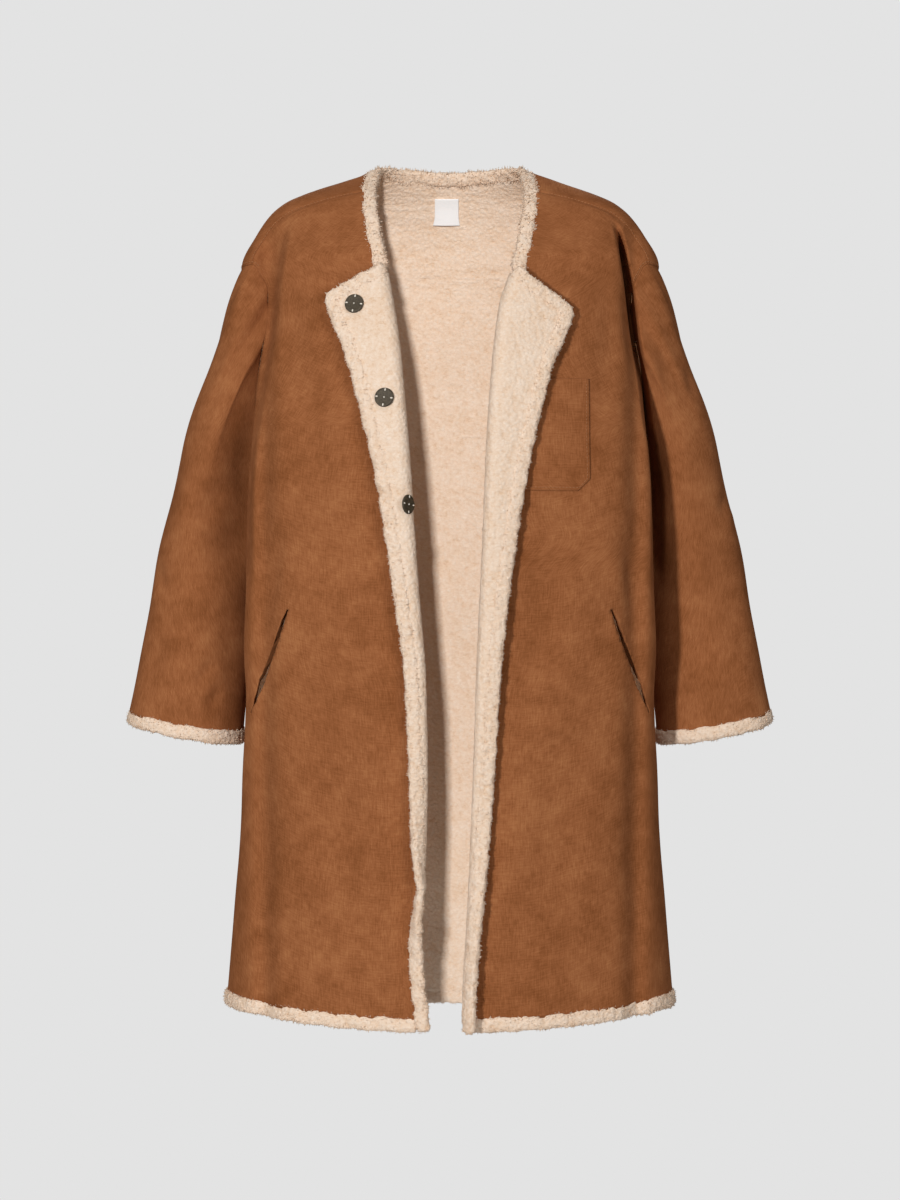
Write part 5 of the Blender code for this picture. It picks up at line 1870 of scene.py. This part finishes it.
@dataclass
class ChestPocket:
    """Patch pocket on the left front, its two lower corners cut off."""

    wardrobe: Wardrobe
    front: Front
    out: tuple[float, float] = (0.064, 0.1585)
    heights: tuple[float, float] = (-0.246, -0.374)
    chamfer: float = 0.014
    lift: float = 0.0004
    thick: float = 0.0013
    stitched_in: float = 0.004
    size: tuple[float, float] = (0.0945, 0.128)
    rows: int = 60
    columns: int = 44

    def layer(self, v: np.ndarray, u: np.ndarray, above: np.ndarray) -> np.ndarray:
        """Points of the pocket at shares down and across, some way above the front."""
        inner, outer = self.out
        top, bottom = self.heights
        height = top + (bottom - top) * v
        cut = self.chamfer * np.clip((bottom + self.chamfer - height) / self.chamfer, 0, 1)
        out = inner + cut + (outer - inner - 2 * cut) * u
        base, normal = skin(angle_at(out, height), height + 0 * out)
        return base + normal * (self.front.suede_offset(base) + above)[..., None]

    def build(self) -> list[bpy.types.Object]:
        """Makes the patch and its top stitching."""
        v = np.linspace(0, 1, self.rows)[:, None]
        u = np.linspace(0, 1, self.columns)[None, :]
        edge = np.minimum(np.minimum(u, 1 - u) * 0.095, np.minimum(v, 1 - v) * 0.128)
        rounded = self.thick * (0.35 + 0.65 * ease(0.0, 0.0025, edge))
        channel = 0.0005 * np.exp(-((edge - self.stitched_in) / 0.0012) ** 2)
        outer = self.layer(v, u, self.lift + rounded - channel)
        inner = self.layer(v, u, np.full(outer.shape[:2], self.lift))
        patch = wall(outer, inner).add_to_scene(
            "pocket_chest_patch", [self.wardrobe.suede, self.wardrobe.suede], "suede", ("pocket_chest",)
        )
        du, dv = self.stitched_in / self.size[0], self.stitched_in / self.size[1]
        corner = self.chamfer / self.size[1]
        path_v = np.concatenate([
            np.linspace(dv * 0.4, 1 - corner - dv * 0.3, 60),
            np.linspace(1 - corner, 1 - dv, 12),
            np.full(50, 1 - dv),
            np.linspace(1 - dv, 1 - corner, 12),
            np.linspace(1 - corner - dv * 0.3, dv * 0.4, 60),
        ])
        path_u = np.concatenate([np.full(72, du), np.linspace(du, 1 - du, 50), np.full(72, 1 - du)])
        line = np.stack([
            self.layer(np.array([[a]]), np.array([[b]]), np.array([[self.lift + self.thick]]))[0, 0]
            for a, b in zip(path_v, path_u)
        ])
        stitches = Stitching("pocket_chest_stitches", self.wardrobe, line).build()
        return [patch, stitches]


@dataclass
class Stitching:
    """A row of lock stitches along a line: short flat beads of thread in a joined mesh."""

    name: str
    wardrobe: Wardrobe
    line: np.ndarray
    pitch: float = 0.0040
    length: float = 0.0031
    half: float = 0.00042

    def build(self) -> bpy.types.Object:
        """Makes the row: each stitch is a six-sided bead, pinched at both ends."""
        gone = travelled(self.line)
        count = max(int(gone[-1] / self.pitch), 1)
        middles = (np.arange(count) + 0.5) * self.pitch
        run = np.linspace(-0.5, 0.5, 5)
        at = middles[:, None] + run * self.length
        place = read_path(self.line, at, gone)
        along = unit(np.gradient(place, axis=1))
        side = unit(np.cross(along, np.array([0.3, 0.5, 0.81])))
        up = np.cross(side, along)
        size = self.half * np.sqrt(np.clip(1 - (2 * run) ** 2 * 0.9, 0.05, 1))[None, :, None]
        thread = tubes(place, side * size, up * size)
        piece = thread.add_to_scene(self.name, [self.wardrobe.brown_thread], "suede")
        close_poles(piece.data)
        return piece


@dataclass
class SidePocket:
    """Pocket bag behind a slanted opening, lying flat against the front's inside."""

    hand: Hand
    wardrobe: Wardrobe
    front: Front
    reach_in: float = 0.105
    deep: float = 0.075
    past_mouth: float = 0.008
    thick: float = 0.003
    lift: float = 0.0028
    rows: int = 40
    columns: int = 32

    def build(self) -> bpy.types.Object:
        """Makes the bag as one flat wall, suede on both of its sides."""
        v = np.linspace(0, 1, self.rows)[:, None]
        u = np.linspace(0, 1, self.columns)[None, :]
        top, bottom = np.array(self.front.slit_top), np.array(self.front.slit_bottom)
        mouth = top + (bottom - top) * v
        outer = mouth[:, :1] + self.past_mouth
        inner = mouth[:, :1] - self.reach_in * (0.55 + 0.45 * v)
        out = outer + (inner - outer) * u
        height = mouth[:, 1:] + self.past_mouth - (self.deep + self.past_mouth) * v + 0 * u
        wide = read(SECTIONS, "height", "half_front", height)
        angle = angle_at(np.minimum(out, wide * 0.985), height)
        base, normal = skin(angle, height)
        away = 0.014 * np.exp(-((out - mouth[:, :1]) / 0.018) ** 2)
        near = base - normal * (CLOTH + self.lift + away)[..., None]
        offset = self.front.suede_offset(base)[..., None] * normal
        far = near - normal * self.thick
        cloth = wall(mirrored(near + offset, self.hand), mirrored(far + offset, self.hand))
        name = "pocket_side_" + self.hand.word
        return cloth.add_to_scene(
            name + "_bag", [self.wardrobe.suede, self.wardrobe.suede], "suede", (name,)
        )


@dataclass
class NeckLabel:
    """Bare woven label on the pile inside the back of the neck."""

    wardrobe: Wardrobe
    size: tuple[float, float] = (0.029, 0.031)
    centre: tuple[float, float] = (-0.004, -0.030)
    thick: float = 0.001
    lift: float = 0.0022

    def build(self) -> bpy.types.Object:
        """Makes the label, a little lifted at its free lower edge."""
        u = np.linspace(-0.5, 0.5, 24)[None, :]
        v = np.linspace(0.5, -0.5, 26)[:, None]
        height = v * self.size[1] + self.centre[1] + 0 * u
        points, normal = skin(back_angle_at(u * self.size[0] + self.centre[0], height), height)
        curve = 0.0008 * ease(0.1, -0.5, v) * (1 + np.cos(2 * np.pi * u)) / 2
        base = points - normal * (CLOTH + self.lift + curve)[..., None]
        cloth = wall(base, base - normal * self.thick)
        finishes = [self.wardrobe.tape, self.wardrobe.tape]
        return cloth.add_to_scene("label_tape", finishes, "white_tape", ("label",))


@dataclass
class Studio:
    """Camera at the photo's angle, pale floor and soft light with one clear key."""

    distance: float = 3.5
    aim: tuple[float, float, float] = (0.0, 0.0, -0.497)
    half_high: float = 0.702
    floor_height: float = -1.42
    floor_radius: float = 0.9
    floor_sides: int = 96
    lamp_away: float = 4.2
    ambient: float = 0.09

    def camera(self) -> None:
        """A level camera straight in front."""
        data = bpy.data.cameras.new("camera")
        data.sensor_fit = "VERTICAL"
        data.sensor_height = 24.0
        data.lens = 12.0 / (self.half_high / self.distance)
        camera = linked("camera", data)
        camera.location = (self.aim[0], self.aim[1] - self.distance, self.aim[2])
        camera.rotation_euler = (np.pi / 2, 0.0, 0.0)
        bpy.context.scene.camera = camera

    def lamp(self, name: str, turn: float, rise: float, energy: float, width: float,
             lit: list[bpy.types.Object]) -> None:
        """Adds one square light that looks at the coat's middle.

        Args:
            name: name of the light.
            turn: degrees round from the front, to the left below 0.
            rise: degrees up.
            energy: watts.
            width: side of the light.
            lit: the pieces that it lights; every piece casts its shadow.
        """
        data = bpy.data.lights.new(name, "AREA")
        data.size = width
        data.energy = energy
        lamp = linked(name, data)
        a, e = np.radians(turn), np.radians(rise)
        way = np.array([np.sin(a) * np.cos(e), -np.cos(a) * np.cos(e), np.sin(e)])
        lamp.location = np.array(self.aim) + way * self.lamp_away
        lamp.rotation_euler = (np.pi / 2 - e, 0.0, a)
        group = bpy.data.collections.new(name + "_receivers")
        for piece in lit:
            group.objects.link(piece)
        lamp.light_linking.receiver_collection = group

    def world(self) -> None:
        """A pale even surround that the camera sees, and a dimmer one that lights."""
        world = bpy.data.worlds.new("surround")
        world.use_nodes = True
        bpy.context.scene.world = world
        bpy.context.scene.view_settings.view_transform = "Standard"
        tree = world.node_tree
        seen = tree.nodes["Background"]
        seen.inputs["Color"].default_value = linear("#e3e3e3")
        lit = tree.nodes.new("ShaderNodeBackground")
        lit.inputs["Color"].default_value = linear("#f4f2ee")
        lit.inputs["Strength"].default_value = self.ambient
        path = tree.nodes.new("ShaderNodeLightPath")
        mix = tree.nodes.new("ShaderNodeMixShader")
        tree.links.new(path.outputs["Is Camera Ray"], mix.inputs["Fac"])
        tree.links.new(lit.outputs[0], mix.inputs[1])
        tree.links.new(seen.outputs[0], mix.inputs[2])
        tree.links.new(mix.outputs[0], tree.nodes["World Output"].inputs["Surface"])

    def floor(self) -> None:
        """A plain pale disc under the coat."""
        turn = circle(self.floor_sides)
        rim = np.stack([np.cos(turn), np.sin(turn), 0 * turn], axis=-1) * self.floor_radius
        rim = rim + np.array([0, 0, self.floor_height])
        mesh = bpy.data.meshes.new("floor")
        mesh.from_pydata(rim.tolist(), [], [list(range(self.floor_sides))])
        finish = Finish("pale_paper")
        place = finish.add("ShaderNodeTexCoord").outputs["Object"]
        tone = finish.add("ShaderNodeTexNoise", {"Vector": place, "Scale": 6.0})
        colour = finish.ramp(tone.outputs["Fac"], ((0.3, "#e2e2e1"), (0.7, "#e6e6e5")))
        finish.feed(finish.shader, {"Base Color": colour, "Roughness": 0.8})
        mesh.materials.append(finish.material)
        linked("floor", mesh)

    def build(self, inside: list[bpy.types.Object]) -> None:
        """Sets up the camera, the surround, the floor and the lights.

        Args:
            inside: pieces that are seen through the open front. The key would
                leave them in the fronts' shadow, so a lower one lights them.
        """
        self.camera()
        self.world()
        self.floor()
        meshes = [piece for piece in bpy.context.scene.objects if piece.type == "MESH"]
        outside = [piece for piece in meshes if piece not in inside]
        self.lamp("key", -25.0, 7.0, 112.0, 0.32, outside)
        self.lamp("fill", 32.0, 6.0, 44.0, 1.6, outside)
        self.lamp("sky", 0.0, 66.0, 34.0, 2.0, outside)
        edging = [piece for piece in inside if piece.name.startswith("trim")]
        self.lamp("rim", 180.0, 35.0, 60.0, 1.5, outside + edging)
        self.lamp("lining", -5.4, 12.0, 150.0, 0.16, inside)
        self.lamp("lining_fill", 20.0, 30.0, 14.0, 2.0, inside)


@dataclass
class Coat:
    """The whole coat: panels first, then edging, then what is sewn on."""

    wardrobe: Wardrobe = field(default_factory=Wardrobe)
    rows: PanelRows = field(default_factory=PanelRows)
    hidden_step: float = 0.008
    stitched_in: float = 0.003
    stitch_lift: float = 0.0003

    def build(self) -> list[bpy.types.Object]:
        """Returns:
            The pieces that are seen through the open front.
        """
        fronts = {hand: Front(hand, self.wardrobe, self.rows) for hand in Hand}
        back = Back(self.wardrobe, self.rows)
        sleeves = {hand: Sleeve(hand, self.wardrobe) for hand in Hand}
        edgings = Edgings(self.wardrobe, fronts, back, sleeves)
        back_piece, lining = back.build()
        middle, _, _ = back.grid()
        [lining] + edgings.neck() + edgings.hem()
        for hand in Hand:
            piece = fronts[hand].build()
            middle, _, keep, _ = fronts[hand].grid()
            edgings.front(hand)
            sleeve = sleeves[hand].build()
            outer, _ = sleeves[hand].grid()
            edgings.cuff(hand)
            bag = SidePocket(hand, self.wardrobe, fronts[hand]).build()
        patch, stitches = ChestPocket(self.wardrobe, fronts[Hand.LEFT]).build()
        label = NeckLabel(self.wardrobe).build()
        Snaps(self.wardrobe).build()
        self.seam_stitches(sleeves)
        return [lining, label, *edgings.inside]

    def seam_stitches(self, sleeves: dict[Hand, Sleeve]) -> None:
        """Rows of stitches beside the armhole and shoulder seams."""
        for hand in Hand:
            turns = np.linspace(-50, 64, 120) % 360
            line, normal = armhole_curve(turns)
            beside = unit(np.cross(unit(np.gradient(line, axis=0)), normal))
            below = sleeves[hand].surface(np.array([0.0, 0.01]), turns)
            way = np.sign(np.sum(beside * (below[1] - below[0]), axis=-1)).mean()
            line = line - beside * np.sign(way) * self.stitched_in
            step = tuck(line, hand)
            line = line + normal * self.stitch_lift + step
            line = line[:np.argmax(step[:, 1] > self.hidden_step)]
            Stitching(f"armhole_{hand.word}_stitches", self.wardrobe, mirrored(line, hand)).build()
            heights = np.linspace(COLLAR_POINT - 0.002, ARMHOLE_TOP + 0.003, 120)
            angle = np.radians(read(SHOULDER_SEAM, "height", "angle", heights))
            angle = angle + self.stitched_in / half_width(angle, heights)
            line, normal = skin(angle, heights)
            line = line + normal * self.stitch_lift + tuck(line, hand)
            Stitching(f"shoulder_{hand.word}_stitches", self.wardrobe, mirrored(line, hand)).build()


def main() -> None:
    """Dresses the coat and sets up the studio."""
    logging.basicConfig(level=logging.INFO, format="%(name)s %(message)s")
    inside = Coat().build()
    Studio().build(inside)


if __name__ == "__main__":
    main()
